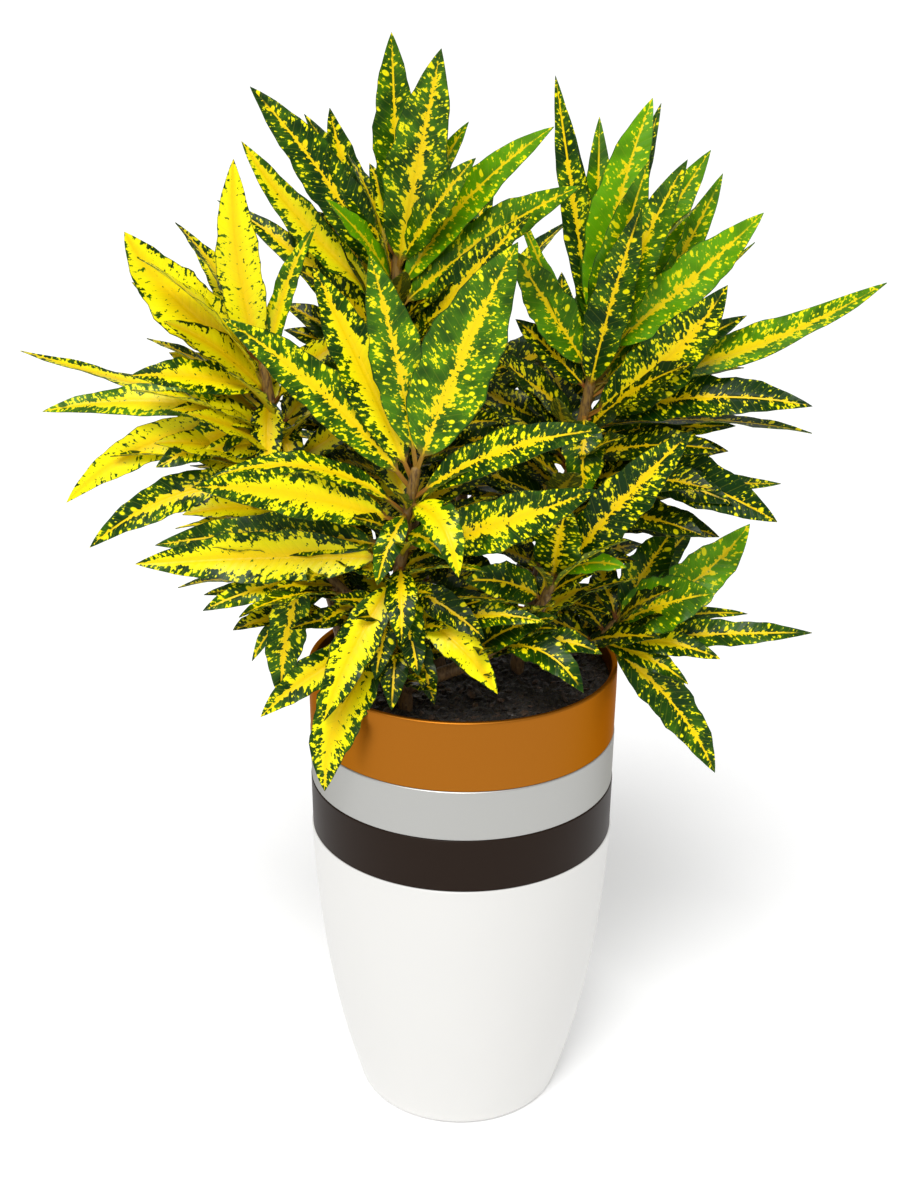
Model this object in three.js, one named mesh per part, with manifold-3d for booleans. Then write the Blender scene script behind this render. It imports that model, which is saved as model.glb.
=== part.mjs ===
// Potted croton: a tall round planter in four colours, soil, and five leafy stems.
// Millimetres, +Z up. The origin is the middle of the planter's foot, and -Y is the front.
import * as THREE from 'three';
import Module from 'manifold-3d';
import { mergeVertices } from 'three/addons/utils/BufferGeometryUtils.js';

const wasm = await Module();
wasm.setup();

// ---- Driving dimensions of the planter and the soil ----
const FACETS = 32; // flats round the planter
const MOUTH_RADIUS = 126; // outer radius of the white planter at its top edge
const WHITE_TOP = 253; // height of the white planter
const BROWN_TOP = 298;
const SILVER_TOP = 340;
const LIP_TOP = 398; // top of the copper lip, and of the whole planter
const TAPER = [11, 17, 12]; // how far the wall draws in towards the foot, by depth, depth² and depth³
const FOOT_ROUNDING = 7.5;
const WALL = 4;
const FLOOR = 6;
const WALL_HEIGHTS = [28, 75, 130, 190]; // where the white planter's wall changes its slope
const BAND_RADIUS = 125; // outer radius of a collar at its lower edge
const BAND_FLARE = 0.5; // a collar is this much wider at its upper edge
const SPIGOT_DEPTH = 10; // the skirt of a collar that goes down inside the piece below
const SPIGOT_WALL = 1.8;
const EDGE = 0.8; // bevel along the upper edges
const LIP_ROUNDING = 1.8;
const SEAM = 0.3; // gap between pieces that touch
const SOIL_TOP = 385;
const HOLE_DEPTH = 30; // how deep each stem stands in the soil

// ---- Driving dimensions of the leaves and stems ----
const BLADE_THICKNESS = 0.8;
const PETIOLE_HALF_WIDTH = 1.6;
const PETIOLE_DEPTH = 2.4;
const PETIOLE_SHARE = 0.1; // share of a leaf's length that is bare petiole
const BLADE_SWELL = 0.66; // how fast a blade widens from its petiole
const BLADE_TAPER = 0.9; // how evenly it narrows to its point
const BLADE_FOLD = 0.22; // how far each half is lifted from the rib, by its width
const RIPPLE = 1.6; // height of the waves along a blade's edges
const RIPPLES = 2.5; // waves along one edge
const STATIONS = [0, 0.14, 0.4, 0.7]; // where a leaf has a cross-section
const FILL_STATIONS = [0, 0.24, 0.6]; // the same for a leaf that follows a rule
const FILL_WIDTH = 0.21; // width of such a leaf, by its length
const FILL_ARCH = 0.07;
const STEM_SIDES = 6;
const STEM_FOOT_RADIUS = 6;
const STEM_TIP_RADIUS = 4;
const GOLDEN = 0.618034; // turn between two leaves that follow each other, as a share of the arc
const SCATTER = 0.754878; // second irrational step, for the lengths and the rise

// Each leafy stem keeps to its own share of the air. Four flat cuts, each with a unit normal and an
// offset in millimetres, part the shares, and a leaf that comes near a cut is bent to lie along it.
const CLEARANCE = 2;
const BEND_ZONE = 12;
const CUTS = {
  behindFront: { normal: [0, 1, 0], offset: -41 },
  rightOfLeft: { normal: [0.6, 0.8, 0], offset: -60 },
  beforeBack: { normal: [0, -1, 0], offset: -94 },
  rightOfTop: { normal: [0.507, 0.862, 0], offset: 27 },
};

// ---- The leafy stems ----
// A branch is a path of points from its foot to its tip. Its leaves are rows of:
//   place along the branch (0 foot, 1 tip), leaf tip x, y, z, width, arch (share of the length),
//   turn of the upper face (0 up, 1 towards the front).
// A fill row stands for many leaves that follow a rule:
//   count, place from, place to, heading from, heading to (degrees, 0 right, 90 back),
//   rise at the first leaf, rise at the last leaf (degrees), length from, length to.
const LEAFY_STEMS = [
  {
    name: 'leafy_stem_front',
    sides: [['behindFront', -1]],
    branches: [
      {
        path: [[-45, -62, 388], [-50, -67, 440], [-50, -70, 490], [-44, -71, 535], [-36, -72, 580]],
        foot: true,
        leaves: [
          [0.99, -68, -85, 735, 38, 0.02, 0.6],
          [0.93, -110, -50, 720, 38, 0.01, 0.6],
          [0.95, 33, -105, 747, 56, 0.02, 0.6],
          [0.9, -175, -60, 685, 36, 0.05, 0.6],
          [0.76, -194, -115, 576, 36, 0.05, 0.6],
          [0.8, -185, -90, 575, 26, 0.15, 0.3],
          [0.62, -245, -80, 505, 39, 0.02, 0.75],
          [0.66, -235, -52, 510, 33, 0.05, 0.6],
          [0.28, -155, -90, 385, 28, 0.08, 0.7],
          [0.55, -105, -105, 390, 30, 0.06, 0.6],
          [0.45, -95, -95, 395, 24, 0.1, 0.6],
          [0.3, -106, -106, 330, 39, 0.14, 0.6],
          [0.33, -90, -90, 402, 22, 0.08, 0.6],
          [0.5, -40, -100, 445, 26, 0.15, 0.6],
          [0.86, 96, -120, 621, 30, 0.07, 0.55],
          [0.66, 90, -130, 581, 38, -0.02, 0.7],
          [0.84, -5, -130, 515, 27, 0.25, 0.5],
          [0.42, 25, -110, 415, 27, 0.1, 0.6],
          [0.28, 60, -90, 465, 24, 0.1, 0.5],
          [0.28, 20, -80, 480, 14, 0.05, 0.6],
        ],
        fills: [[4, 0.35, 0.85, -60, 20, 0, 45, 70, 110]],
      },
      {
        path: [[-49, -66, 430], [-80, -60, 465], [-118, -56, 500]],
        leaves: [
          [0.8, -195, -90, 472, 22, 0.06, 0.6],
          [0.6, -200, -52, 470, 18, 0.06, 0.5],
          [1, -140, -80, 395, 30, 0.07, 0.5],
          [0.7, -165, -52, 415, 16, 0.1, 0.5],
        ],
        fills: [[2, 0.5, 1, 170, 260, 0, 20, 80, 110]],
      },
      {
        path: [[-46, -63, 398], [10, -60, 420], [52, -60, 452], [70, -62, 492]],
        leaves: [
          [0.97, 160, -95, 614, 37, 0.02, 0.7],
          [1, 120, -80, 505, 18, 0.12, 0.5],
          [0.95, 72, -110, 563, 36, 0.05, 0.5],
          [0.5, 105, -80, 435, 22, 0.12, 0.5],
          [0.5, 90, -100, 412, 26, 0.2, 0.5],
          [0.85, 0, -85, 495, 30, 0.1, 0.6],
          [0.3, 70, -80, 465, 26, 0.1, 0.5],
        ],
        fills: [[2, 0.6, 1, -60, 60, 10, 50, 70, 100]],
      },
    ],
  },
  {
    name: 'leafy_stem_left',
    sides: [['behindFront', 1], ['rightOfLeft', -1]],
    branches: [
      {
        path: [[-90, -20, 388], [-105, -16, 460], [-130, -8, 540], [-150, 0, 610], [-155, 3, 640]],
        foot: true,
        leaves: [
          [1, -255, 10, 735, 46, -0.08, 0.6],
          [0.94, -264, 70, 687, 24, 0.02, 0.5],
          [0.98, -217, 75, 724, 18, 0.03, 0.5],
          [0.85, -350, 45, 637, 24, -0.02, 0.1],
          [0.82, -325, 0, 600, 30, 0.06, 0.45],
          [0.8, -310, -10, 530, 30, 0.12, 0.7],
          [0.905, -250, -28, 635, 30, 0.05, 0.5],
          [0.86, -235, -30, 565, 30, 0, 0.6],
          [0.75, -200, -28, 575, 22, 0.05, 0.6],
          [0.62, -290, -30, 500, 32, 0.12, 0.6],
          [0.96, -169, -10, 790, 33, -0.05, 0.6],
          [0.92, -110, -15, 745, 18, 0.07, 0.5],
        ],
        fills: [
          [7, 0.6, 1, 130, 215, 5, 60, 120, 150],
          [4, 0.25, 0.6, 110, 215, -5, 15, 100, 130],
        ],
      },
    ],
  },
  {
    name: 'leafy_stem_top',
    sides: [['behindFront', 1], ['rightOfLeft', 1], ['beforeBack', 1], ['rightOfTop', -1]],
    branches: [
      {
        path: [[-20, 12, 388], [-38, 25, 480], [-54, 38, 590], [-58, 42, 660], [-52, 45, 722]],
        foot: true,
        leaves: [
          [1, -57, 50, 875, 33, 0, 0.5],
          [0.92, -20, -5, 866, 46, 0, 0.5],
          [0.885, -165, 70, 835, 37, 0.04, 0.55],
          [0.97, -105, 70, 820, 26, -0.08, 0.55],
          [0.85, -173, 70, 795, 28, -0.04, 0.55],
          [0.62, -195, 75, 750, 26, 0.11, 0.5],
          [0.955, 0, 15, 815, 22, 0.03, 0.5],
          [0.93, -125, 75, 815, 22, 0.03, 0.5],
          [0.985, -75, 65, 780, 18, 0.03, 0.5],
          [0.9, -105, 5, 760, 24, 0.05, 0.4],
          [0.87, 60, -22, 815, 31, 0.06, 0.6],
          [0.84, 80, -27, 775, 36, 0.04, 0.6],
          [0.94, 5, -20, 793, 27, 0.03, 0.6],
          [0.7, 45, -28, 755, 32, 0.03, 0.55],
        ],
        fills: [
          [3, 0.7, 0.9, 95, 175, 55, 75, 110, 140],
          [2, 0.4, 0.7, -75, -10, 10, 40, 70, 95],
          [2, 0.45, 0.75, 150, 200, 10, 40, 80, 110],
        ],
      },
    ],
  },
  {
    name: 'leafy_stem_right',
    sides: [['behindFront', 1], ['beforeBack', 1], ['rightOfTop', 1]],
    branches: [
      {
        path: [[45, 16, 388], [62, 16, 470], [86, 18, 560], [96, 20, 615], [100, 22, 645]],
        foot: true,
        leaves: [
          [0.91, 37, 45, 750, 14, 0, 0.4],
          [0.99, 65, 60, 845, 22, 0, 0.6],
          [0.935, 75, 65, 820, 20, 0.02, 0.5],
          [0.97, 100, 70, 815, 26, 0.02, 0.5],
          [1, 138, 55, 830, 40, 0.06, 0.6],
          [0.955, 147, 75, 825, 22, 0.03, 0.5],
          [0.94, 180, 30, 795, 35, 0.03, 0.6],
          [0.92, 156, -20, 793, 34, 0.03, 0.6],
          [0.895, 130, -5, 790, 34, 0.02, 0.6],
          [0.85, 125, -20, 760, 32, 0.02, 0.6],
          [0.88, 195, 60, 775, 30, -0.04, 0.5],
          [0.985, 215, -10, 755, 38, -0.02, 0.6],
          [0.865, 215, 15, 730, 20, 0, 0.2],
          [0.8, 190, -25, 705, 45, -0.07, 0.7],
          [0.905, 310, -10, 705, 38, -0.06, 0.35],
          [0.93, 35, 32, 720, 36, 0, 0.6],
          [0.79, 260, -25, 615, 36, 0.07, 0.55],
          [0.765, 265, -10, 590, 26, 0.05, 0.1],
          [0.725, 240, -30, 525, 42, 0.04, 0.7],
          [0.7, 250, 15, 542, 22, -0.05, 0.5],
          [0.74, 210, 10, 590, 24, 0.02, 0.5],
          [0.815, 90, -16, 536, 34, 0.2, 0.5],
        ],
        fills: [
          [5, 0.65, 1, -15, 45, 5, 65, 120, 150],
          [3, 0.3, 0.65, -50, 40, 20, 35, 80, 110],
        ],
      },
      {
        path: [[50, 16, 400], [84, 4, 404], [110, -6, 414], [124, -8, 434]],
        leaves: [
          [0.75, 280, -10, 425, 24, 0.01, 0.5],
          [0.92, 195, -28, 465, 46, 0.05, 0.6],
          [0.85, 235, 30, 425, 14, 0.05, 0.5],
          [0.97, 230, 25, 505, 40, -0.09, 0.7],
          [0.95, 192, 70, 487, 26, 0.03, 0.6],
          [1, 171, 35, 498, 34, 0.03, 0.6],
          [0.72, 205, -25, 408, 24, 0.08, 0.5],
          [0.7, 180, -30, 388, 20, 0.08, 0.5],
          [0.74, 207, -28, 308, 33, 0.08, 0.7],
        ],
        fills: [],
      },
    ],
  },
  {
    name: 'leafy_stem_back',
    sides: [['behindFront', 1], ['beforeBack', -1], ['rightOfLeft', 1]],
    branches: [
      {
        path: [[0, 103, 388], [0, 118, 460], [-4, 135, 560], [-2, 150, 650]],
        foot: true,
        leaves: [],
        fills: [
          [8, 0.6, 1, 10, 170, 10, 80, 130, 165],
          [4, 0.25, 0.6, 0, 180, 5, 10, 110, 140],
        ],
      },
      {
        path: [[0, 112, 430], [-45, 125, 500], [-82, 140, 570]],
        leaves: [],
        fills: [[9, 0.45, 1, 85, 205, 0, 65, 120, 155]],
      },
      {
        path: [[0, 114, 440], [50, 125, 510], [90, 140, 590]],
        leaves: [],
        fills: [[9, 0.45, 1, -20, 95, 0, 65, 120, 155]],
      },
    ],
  },
];

const finish = (name, color, roughness, metalness = 0) =>
  new THREE.MeshStandardMaterial({ name, color, roughness, metalness });

const MATERIALS = {
  white: finish('white_plastic', 0xf2f1ee, 0.4),
  brown: finish('brown_plastic', 0x34281f, 0.45),
  silver: finish('silver_plastic', 0xc3c4be, 0.4, 0.3),
  copper: finish('copper_plastic', 0xac6a1e, 0.4, 0.3),
  soil: finish('potting_soil', 0x120e0b, 0.9),
  leaf: finish('croton_leaf', 0x8f9a14, 0.35),
};

// ---- Planter ----

// Outer radius of the white planter at a height: it draws in slowly under the mouth, faster lower down.
function wallRadius(height) {
  const depth = 1 - height / WHITE_TOP;
  return MOUTH_RADIUS - TAPER[0] * depth - TAPER[1] * depth ** 2 - TAPER[2] * depth ** 3;
}

// A closed profile of [radius, height] points, turned round the Z axis.
function turned(profile) {
  const points = profile.map(([radius, height]) => new THREE.Vector2(radius, height));
  points.push(points[0].clone());
  const geometry = new THREE.LatheGeometry(points, FACETS);
  return geometry.rotateX(Math.PI / 2);
}

const REBATE_RADIUS = BAND_RADIUS - WALL + SPIGOT_WALL + SEAM;

// The stepped seat at the top of a piece, read from the outer edge inwards.
function seat(outerRadius, top) {
  return [
    [outerRadius, top - EDGE],
    [outerRadius - EDGE, top],
    [REBATE_RADIUS, top],
    [REBATE_RADIUS, top - SPIGOT_DEPTH - SEAM],
    [BAND_RADIUS - WALL, top - SPIGOT_DEPTH - SEAM],
  ];
}

function whitePlanter() {
  const footRadius = wallRadius(FOOT_ROUNDING);
  const foot = [0, 30, 60, 90].map((degrees) => {
    const angle = THREE.MathUtils.degToRad(degrees);
    const radius = footRadius - FOOT_ROUNDING * (1 - Math.sin(angle));
    return [radius, FOOT_ROUNDING * (1 - Math.cos(angle))];
  });
  const outside = WALL_HEIGHTS.map((height) => [wallRadius(height), height]);
  const inside = WALL_HEIGHTS.toReversed().map((height) => [wallRadius(height) - WALL, height]);
  const floorRadius = wallRadius(FLOOR) - WALL;
  return turned([[0, 0], ...foot, ...outside, ...seat(MOUTH_RADIUS, WHITE_TOP), ...inside,
    [floorRadius, FLOOR], [0, FLOOR]]);
}

// The skirt that stands in the seat below, read from the inside up to the band's lower edge.
function spigot(bottom) {
  const inner = BAND_RADIUS - WALL;
  return [
    [inner, bottom - SPIGOT_DEPTH],
    [inner + SPIGOT_WALL, bottom - SPIGOT_DEPTH],
    [inner + SPIGOT_WALL, bottom + SEAM],
    [BAND_RADIUS, bottom + SEAM],
  ];
}

function collar(bottom, top) {
  return turned([...spigot(bottom), ...seat(BAND_RADIUS + BAND_FLARE, top)]);
}

function lippedCollar(bottom, top) {
  const outer = BAND_RADIUS + BAND_FLARE;
  const inner = BAND_RADIUS - WALL;
  const middle = (outer + inner) / 2;
  return turned([
    ...spigot(bottom),
    [outer, top - LIP_ROUNDING],
    [outer - LIP_ROUNDING / 3, top - LIP_ROUNDING / 3],
    [middle, top],
    [inner + LIP_ROUNDING / 3, top - LIP_ROUNDING / 3],
    [inner, top - LIP_ROUNDING],
  ]);
}

// ---- Solids for joining and cutting ----

function solidFrom(positions, triangles) {
  const mesh = new wasm.Mesh({
    numProp: 3,
    vertProperties: new Float32Array(positions),
    triVerts: new Uint32Array(triangles),
  });
  return new wasm.Manifold(mesh);
}

function solidFromGeometry(geometry) {
  geometry.deleteAttribute('normal');
  geometry.deleteAttribute('uv');
  const welded = mergeVertices(geometry);
  return solidFrom(welded.attributes.position.array, welded.index.array);
}

function geometryFrom(solid) {
  const mesh = solid.getMesh();
  const geometry = new THREE.BufferGeometry();
  geometry.setAttribute('position', new THREE.BufferAttribute(mesh.vertProperties, 3));
  geometry.setIndex(new THREE.BufferAttribute(mesh.triVerts, 1));
  return geometry;
}

// Rings of points joined into a closed tube, with a flat fan over each end.
function tubeSolid(rings) {
  const sides = rings[0].length;
  const triangles = [];
  for (let ring = 0; ring + 1 < rings.length; ring += 1) {
    for (let side = 0; side < sides; side += 1) {
      const a = ring * sides + side;
      const b = ring * sides + ((side + 1) % sides);
      triangles.push(a, b, b + sides, a, b + sides, a + sides);
    }
  }
  const last = (rings.length - 1) * sides;
  for (let side = 1; side + 1 < sides; side += 1) {
    triangles.push(0, side + 1, side, last, last + side, last + side + 1);
  }
  return solidFrom(rings.flat().flatMap((point) => point.toArray()), triangles);
}

// ---- Stems ----

// A point at a share of a path's length.
function pointOnPath(path, share) {
  const points = path.map((point) => new THREE.Vector3(...point));
  const lengths = points.slice(1).map((point, index) => point.distanceTo(points[index]));
  let left = share * lengths.reduce((sum, length) => sum + length, 0);
  for (let index = 0; index < lengths.length; index += 1) {
    if (left <= lengths[index] || index === lengths.length - 1) {
      return points[index].lerp(points[index + 1], left / lengths[index]);
    }
    left -= lengths[index];
  }
  return points[0];
}

function stemRadius(share) {
  return THREE.MathUtils.lerp(STEM_FOOT_RADIUS, STEM_TIP_RADIUS, share);
}

// Rings of points round a branch, square to it. One with its foot in the soil goes down into its hole.
function branchSolid({ path, foot }) {
  const points = path.map((point) => new THREE.Vector3(...point));
  if (foot) {
    points.unshift(points[0].clone().setZ(SOIL_TOP - HOLE_DEPTH + SEAM));
  }
  const last = points.length - 1;
  const rings = points.map((centre, index) => {
    const ahead = points[Math.min(index + 1, last)].clone().sub(points[Math.max(index - 1, 0)]);
    const deep = new THREE.Vector3(0, 1, 0).projectOnPlane(ahead.normalize()).normalize();
    const wide = deep.clone().cross(ahead);
    const radius = stemRadius(index / last);
    return Array.from({ length: STEM_SIDES }, (_, side) => {
      const angle = (side / STEM_SIDES) * 2 * Math.PI;
      const rim = wide.clone().multiplyScalar(Math.cos(angle) * radius);
      return rim.addScaledVector(deep, Math.sin(angle) * radius).add(centre);
    });
  });
  return tubeSolid(rings);
}

// ---- Leaves ----

function shareOf(value) {
  return value - Math.floor(value);
}

// Half the width of a leaf at a share of its length.
function halfWidth(share, width) {
  const along = Math.max(0, (share - PETIOLE_SHARE) / (1 - PETIOLE_SHARE));
  const widest = BLADE_SWELL / (BLADE_SWELL + BLADE_TAPER);
  const most = widest ** BLADE_SWELL * (1 - widest) ** BLADE_TAPER;
  const blade = (along ** BLADE_SWELL * (1 - along) ** BLADE_TAPER) / most;
  return Math.max(PETIOLE_HALF_WIDTH * (1 - along), (width / 2) * blade);
}

// A point that comes within BEND_ZONE of a cut is moved back along the cut's normal, ever more
// gently, so that it ends at least CLEARANCE on its own side and the blade still bends smoothly.
function keepInShare(point, sides) {
  for (const [cut, side] of [...sides, ...sides]) {
    const normal = new THREE.Vector3(...CUTS[cut].normal).multiplyScalar(side);
    const distance = point.dot(normal) - side * CUTS[cut].offset;
    if (distance < BEND_ZONE) {
      const room = BEND_ZONE - CLEARANCE;
      const bent = CLEARANCE + room * Math.exp((distance - BEND_ZONE) / room);
      point.addScaledVector(normal, bent - distance);
    }
  }
  return point;
}

// The three points of a leaf's middle surface at a share of its length: left edge, rib, right edge.
function leafSection(leaf, share) {
  const chord = leaf.tip.clone().sub(leaf.base);
  const along = chord.clone().normalize();
  const up = new THREE.Vector3(0, 0, 1);
  up.addScaledVector(along, -up.dot(along)).normalize();
  const face = new THREE.Vector3(0, -leaf.turn, 1 - leaf.turn);
  face.addScaledVector(along, -face.dot(along)).normalize();
  const bow = leaf.arch * chord.length();
  const rib = leaf.base.clone().addScaledVector(chord, share);
  rib.addScaledVector(up, bow * 4 * share * (1 - share));
  const tangent = chord.clone().addScaledVector(up, bow * (4 - 8 * share)).normalize();
  const across = tangent.clone().cross(face).normalize();
  const normal = across.clone().cross(tangent);
  const half = halfWidth(share, leaf.width);
  const blade = Math.max(0, (share - PETIOLE_SHARE) / (1 - PETIOLE_SHARE));
  return [-1, 0, 1].map((side) => {
    const wave = 2 * Math.PI * RIPPLES * blade + leaf.phase + (side < 0 ? Math.PI / 2 : 0);
    const ripple = RIPPLE * Math.sin(Math.PI * blade) * side ** 2 * Math.sin(wave);
    const point = rib.clone().addScaledVector(across, side * half);
    return point.addScaledVector(normal, BLADE_FOLD * half * side ** 2 + ripple);
  });
}

// The direction out of a leaf's upper face at a section, looking towards the next point of its rib.
function faceNormal([left, rib, right], next) {
  const tangent = next.clone().sub(rib).normalize();
  return right.clone().sub(left).cross(tangent).normalize();
}

// A leaf as a closed body: a three-sided petiole, then a blade whose two faces are split into
// triangles alike, then a tip that is a short upright edge.
function leafSolid(leaf, sides) {
  const sections = leaf.stations.map((share) => leafSection(leaf, share));
  sections.forEach((section) => section.forEach((point) => keepInShare(point, sides)));
  const tip = keepInShare(leaf.tip.clone(), sides);
  const [[left, rib, right], ...blade] = sections;
  const keel = rib.clone().addScaledVector(faceNormal(sections[0], sections[1][1]), -PETIOLE_DEPTH);
  const points = [left, right, keel];
  blade.forEach((section, index) => {
    const normal = faceNormal(section, index + 1 < blade.length ? blade[index + 1][1] : tip);
    for (const face of [0.5, -0.5]) {
      points.push(...section.map((point) => (
        point.clone().addScaledVector(normal, face * BLADE_THICKNESS)
      )));
    }
  });
  const tipNormal = faceNormal(blade.at(-1), tip);
  for (const face of [0.5, -0.5]) {
    points.push(tip.clone().addScaledVector(tipNormal, face * BLADE_THICKNESS));
  }
  return solidFrom(points.flatMap((point) => point.toArray()), leafTriangles(blade.length));
}

// Points 0, 1 and 2 are the petiole's left, right and keel. Each blade section then has six: left,
// rib and right of its upper face, then the same of its lower face. The last two are the tip.
function leafTriangles(count) {
  const triangles = [0, 2, 1, 0, 1, 4, 0, 4, 3, 1, 5, 4, 0, 3, 6, 1, 8, 5, 0, 7, 2, 0, 6, 7, 2, 8, 1,
    2, 7, 8];
  const quad = (a, b, c, d) => triangles.push(a, b, c, a, c, d);
  for (let index = 0; index + 1 < count; index += 1) {
    const near = 3 + index * 6;
    const far = near + 6;
    for (const half of [0, 1]) {
      quad(near + half, near + half + 1, far + half + 1, far + half);
      quad(far + half + 4, near + half + 4, near + half + 3, far + half + 3);
    }
    quad(near, far, far + 3, near + 3);
    quad(near + 2, near + 5, far + 5, far + 2);
  }
  const end = 3 + (count - 1) * 6;
  const tip = end + 6;
  triangles.push(end, end + 1, tip, end + 1, end + 2, tip);
  triangles.push(end + 3, tip + 1, end + 4, end + 4, tip + 1, end + 5);
  quad(end, tip, tip + 1, end + 3);
  quad(end + 2, end + 5, tip + 1, tip);
  return triangles;
}

// The leaves of one branch: those in its rows, then those that follow its fill rules.
function leavesOf({ path, leaves, fills }) {
  const placed = leaves.map(([place, x, y, z, width, arch, turn], index) => ({
    base: pointOnPath(path, place),
    tip: new THREE.Vector3(x, y, z),
    width,
    arch,
    turn,
    phase: 2 * Math.PI * shareOf(index * SCATTER),
    stations: STATIONS,
  }));
  for (const [count, from, to, turnFrom, turnTo, low, high, shortest, longest] of fills) {
    for (let index = 0; index < count; index += 1) {
      const share = (index + 0.5) / count;
      const heading = THREE.MathUtils.degToRad(
        THREE.MathUtils.lerp(turnFrom, turnTo, shareOf((index + 1) * GOLDEN)),
      );
      const rise = THREE.MathUtils.degToRad(THREE.MathUtils.lerp(low, high, share));
      const length = THREE.MathUtils.lerp(shortest, longest, shareOf((index + 1) * SCATTER));
      const base = pointOnPath(path, THREE.MathUtils.lerp(from, to, share));
      const direction = new THREE.Vector3(
        Math.cos(heading) * Math.cos(rise),
        Math.sin(heading) * Math.cos(rise),
        Math.sin(rise),
      );
      placed.push({
        base,
        tip: base.clone().addScaledVector(direction, length),
        width: length * FILL_WIDTH,
        arch: FILL_ARCH,
        turn: 0,
        phase: 2 * Math.PI * shareOf(index * SCATTER),
        stations: FILL_STATIONS,
      });
    }
  }
  return placed;
}

// All branches and leaves of a stem joined into one body, with any sealed hollow filled.
function leafyStemSolid({ sides, branches }) {
  const solids = branches.flatMap((branch) => [
    branchSolid(branch),
    ...leavesOf(branch).map((leaf) => leafSolid(leaf, sides)),
  ]);
  const pieces = wasm.Manifold.union(solids).decompose();
  pieces.sort((a, b) => b.volume() - a.volume());
  return pieces[0];
}

// ---- Soil ----

// One plug of soil that fills the planter, with a plain round hole for each stem.
function soilSolid() {
  const inside = WALL_HEIGHTS.map((height) => [wallRadius(height) - WALL - SEAM, height]);
  const topRadius = BAND_RADIUS - WALL - SEAM;
  const shoulder = WHITE_TOP - SPIGOT_DEPTH - SEAM;
  const floorRadius = wallRadius(FLOOR) - WALL - SEAM;
  const geometry = turned([[0, FLOOR + SEAM], [floorRadius, FLOOR + SEAM], ...inside,
    [topRadius, shoulder], [topRadius, SOIL_TOP], [0, SOIL_TOP]]);
  let soil = solidFromGeometry(geometry);
  const feet = LEAFY_STEMS.map((stem) => stem.branches[0].path[0]);
  for (const [x, y] of feet) {
    const hole = new THREE.CylinderGeometry(STEM_FOOT_RADIUS + SEAM, STEM_FOOT_RADIUS + SEAM,
      HOLE_DEPTH * 2, STEM_SIDES * 2);
    hole.rotateX(Math.PI / 2).translate(x, y, SOIL_TOP);
    soil = soil.subtract(solidFromGeometry(hole));
  }
  return soil;
}

// ---- Assembly ----

const croton = new THREE.Group();

function place(name, geometry, material) {
  geometry.computeVertexNormals();
  const mesh = new THREE.Mesh(geometry, material);
  mesh.name = name;
  croton.add(mesh);
}

place('planter_white', whitePlanter(), MATERIALS.white);
place('collar_brown', collar(WHITE_TOP, BROWN_TOP), MATERIALS.brown);
place('collar_silver', collar(BROWN_TOP, SILVER_TOP), MATERIALS.silver);
place('collar_copper', lippedCollar(SILVER_TOP, LIP_TOP), MATERIALS.copper);
place('soil', geometryFrom(soilSolid()), MATERIALS.soil);
for (const stem of LEAFY_STEMS) {
  place(stem.name, geometryFrom(leafyStemSolid(stem)), MATERIALS.leaf);
}

export default croton;
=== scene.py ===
# %% [markdown]
# # A potted croton
# A croton is a house plant with long leathery leaves, green and splashed with yellow. This one
# stands in a tall round planter: a white body that narrows to its foot, and three coloured collars
# stacked on it, brown, silver and copper.
#
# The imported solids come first. They fix where everything is, in metres, with the origin in the
# middle of the planter's foot. Each new piece below stands for one of those solids and stays in
# its place, so the work is only about better surfaces.

import math

import bpy
import numpy as np
from mathutils import Matrix


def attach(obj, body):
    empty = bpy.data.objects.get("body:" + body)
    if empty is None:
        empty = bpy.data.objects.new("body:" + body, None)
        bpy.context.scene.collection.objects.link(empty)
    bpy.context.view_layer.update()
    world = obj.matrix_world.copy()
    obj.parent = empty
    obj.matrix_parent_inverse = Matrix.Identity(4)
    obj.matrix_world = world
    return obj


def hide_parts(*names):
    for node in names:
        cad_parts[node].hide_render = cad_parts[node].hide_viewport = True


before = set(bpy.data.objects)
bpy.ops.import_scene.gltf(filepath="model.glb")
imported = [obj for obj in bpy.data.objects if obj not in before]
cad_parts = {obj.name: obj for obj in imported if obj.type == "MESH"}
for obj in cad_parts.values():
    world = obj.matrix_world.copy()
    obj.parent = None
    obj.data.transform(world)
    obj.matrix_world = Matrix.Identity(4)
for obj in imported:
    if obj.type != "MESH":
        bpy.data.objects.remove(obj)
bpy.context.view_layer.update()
MM = 0.001
print("solids:", ", ".join(sorted(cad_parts)))

# %% [markdown]
# ## Surfaces from arrays
# Every piece could be pushed and pulled by hand, but then no size could be read back. Here each one
# is worked out as a whole array of points and handed to Blender in one go. Sizes are in millimetres,
# as a maker would measure them, and turned into metres at the very end. A grid of points becomes a
# surface by joining each point to its neighbours with a four-sided face.

# %% A mesh from points and faces
def make_piece(name, points, faces, material, slot, node=None):
    """A smooth mesh object. points are millimetres in an (n, 3) array, faces are lists of indices.
    It rides on the part's one body, takes the finish `material`, and stands for `node` if given. The
    argument slot is not used."""
    mesh = bpy.data.meshes.new(name)
    mesh.from_pydata((np.asarray(points) * MM).tolist(), [], faces)
    mesh.shade_smooth()
    mesh.materials.append(material)
    piece = bpy.data.objects.new(name, mesh)
    bpy.context.scene.collection.objects.link(piece)
    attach(piece, "root")
    if node:
        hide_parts(node)
    mesh.calc_loop_triangles()
    print(f"{name}: {len(mesh.vertices)} points, {len(mesh.loop_triangles)} triangles")
    return piece


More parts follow.
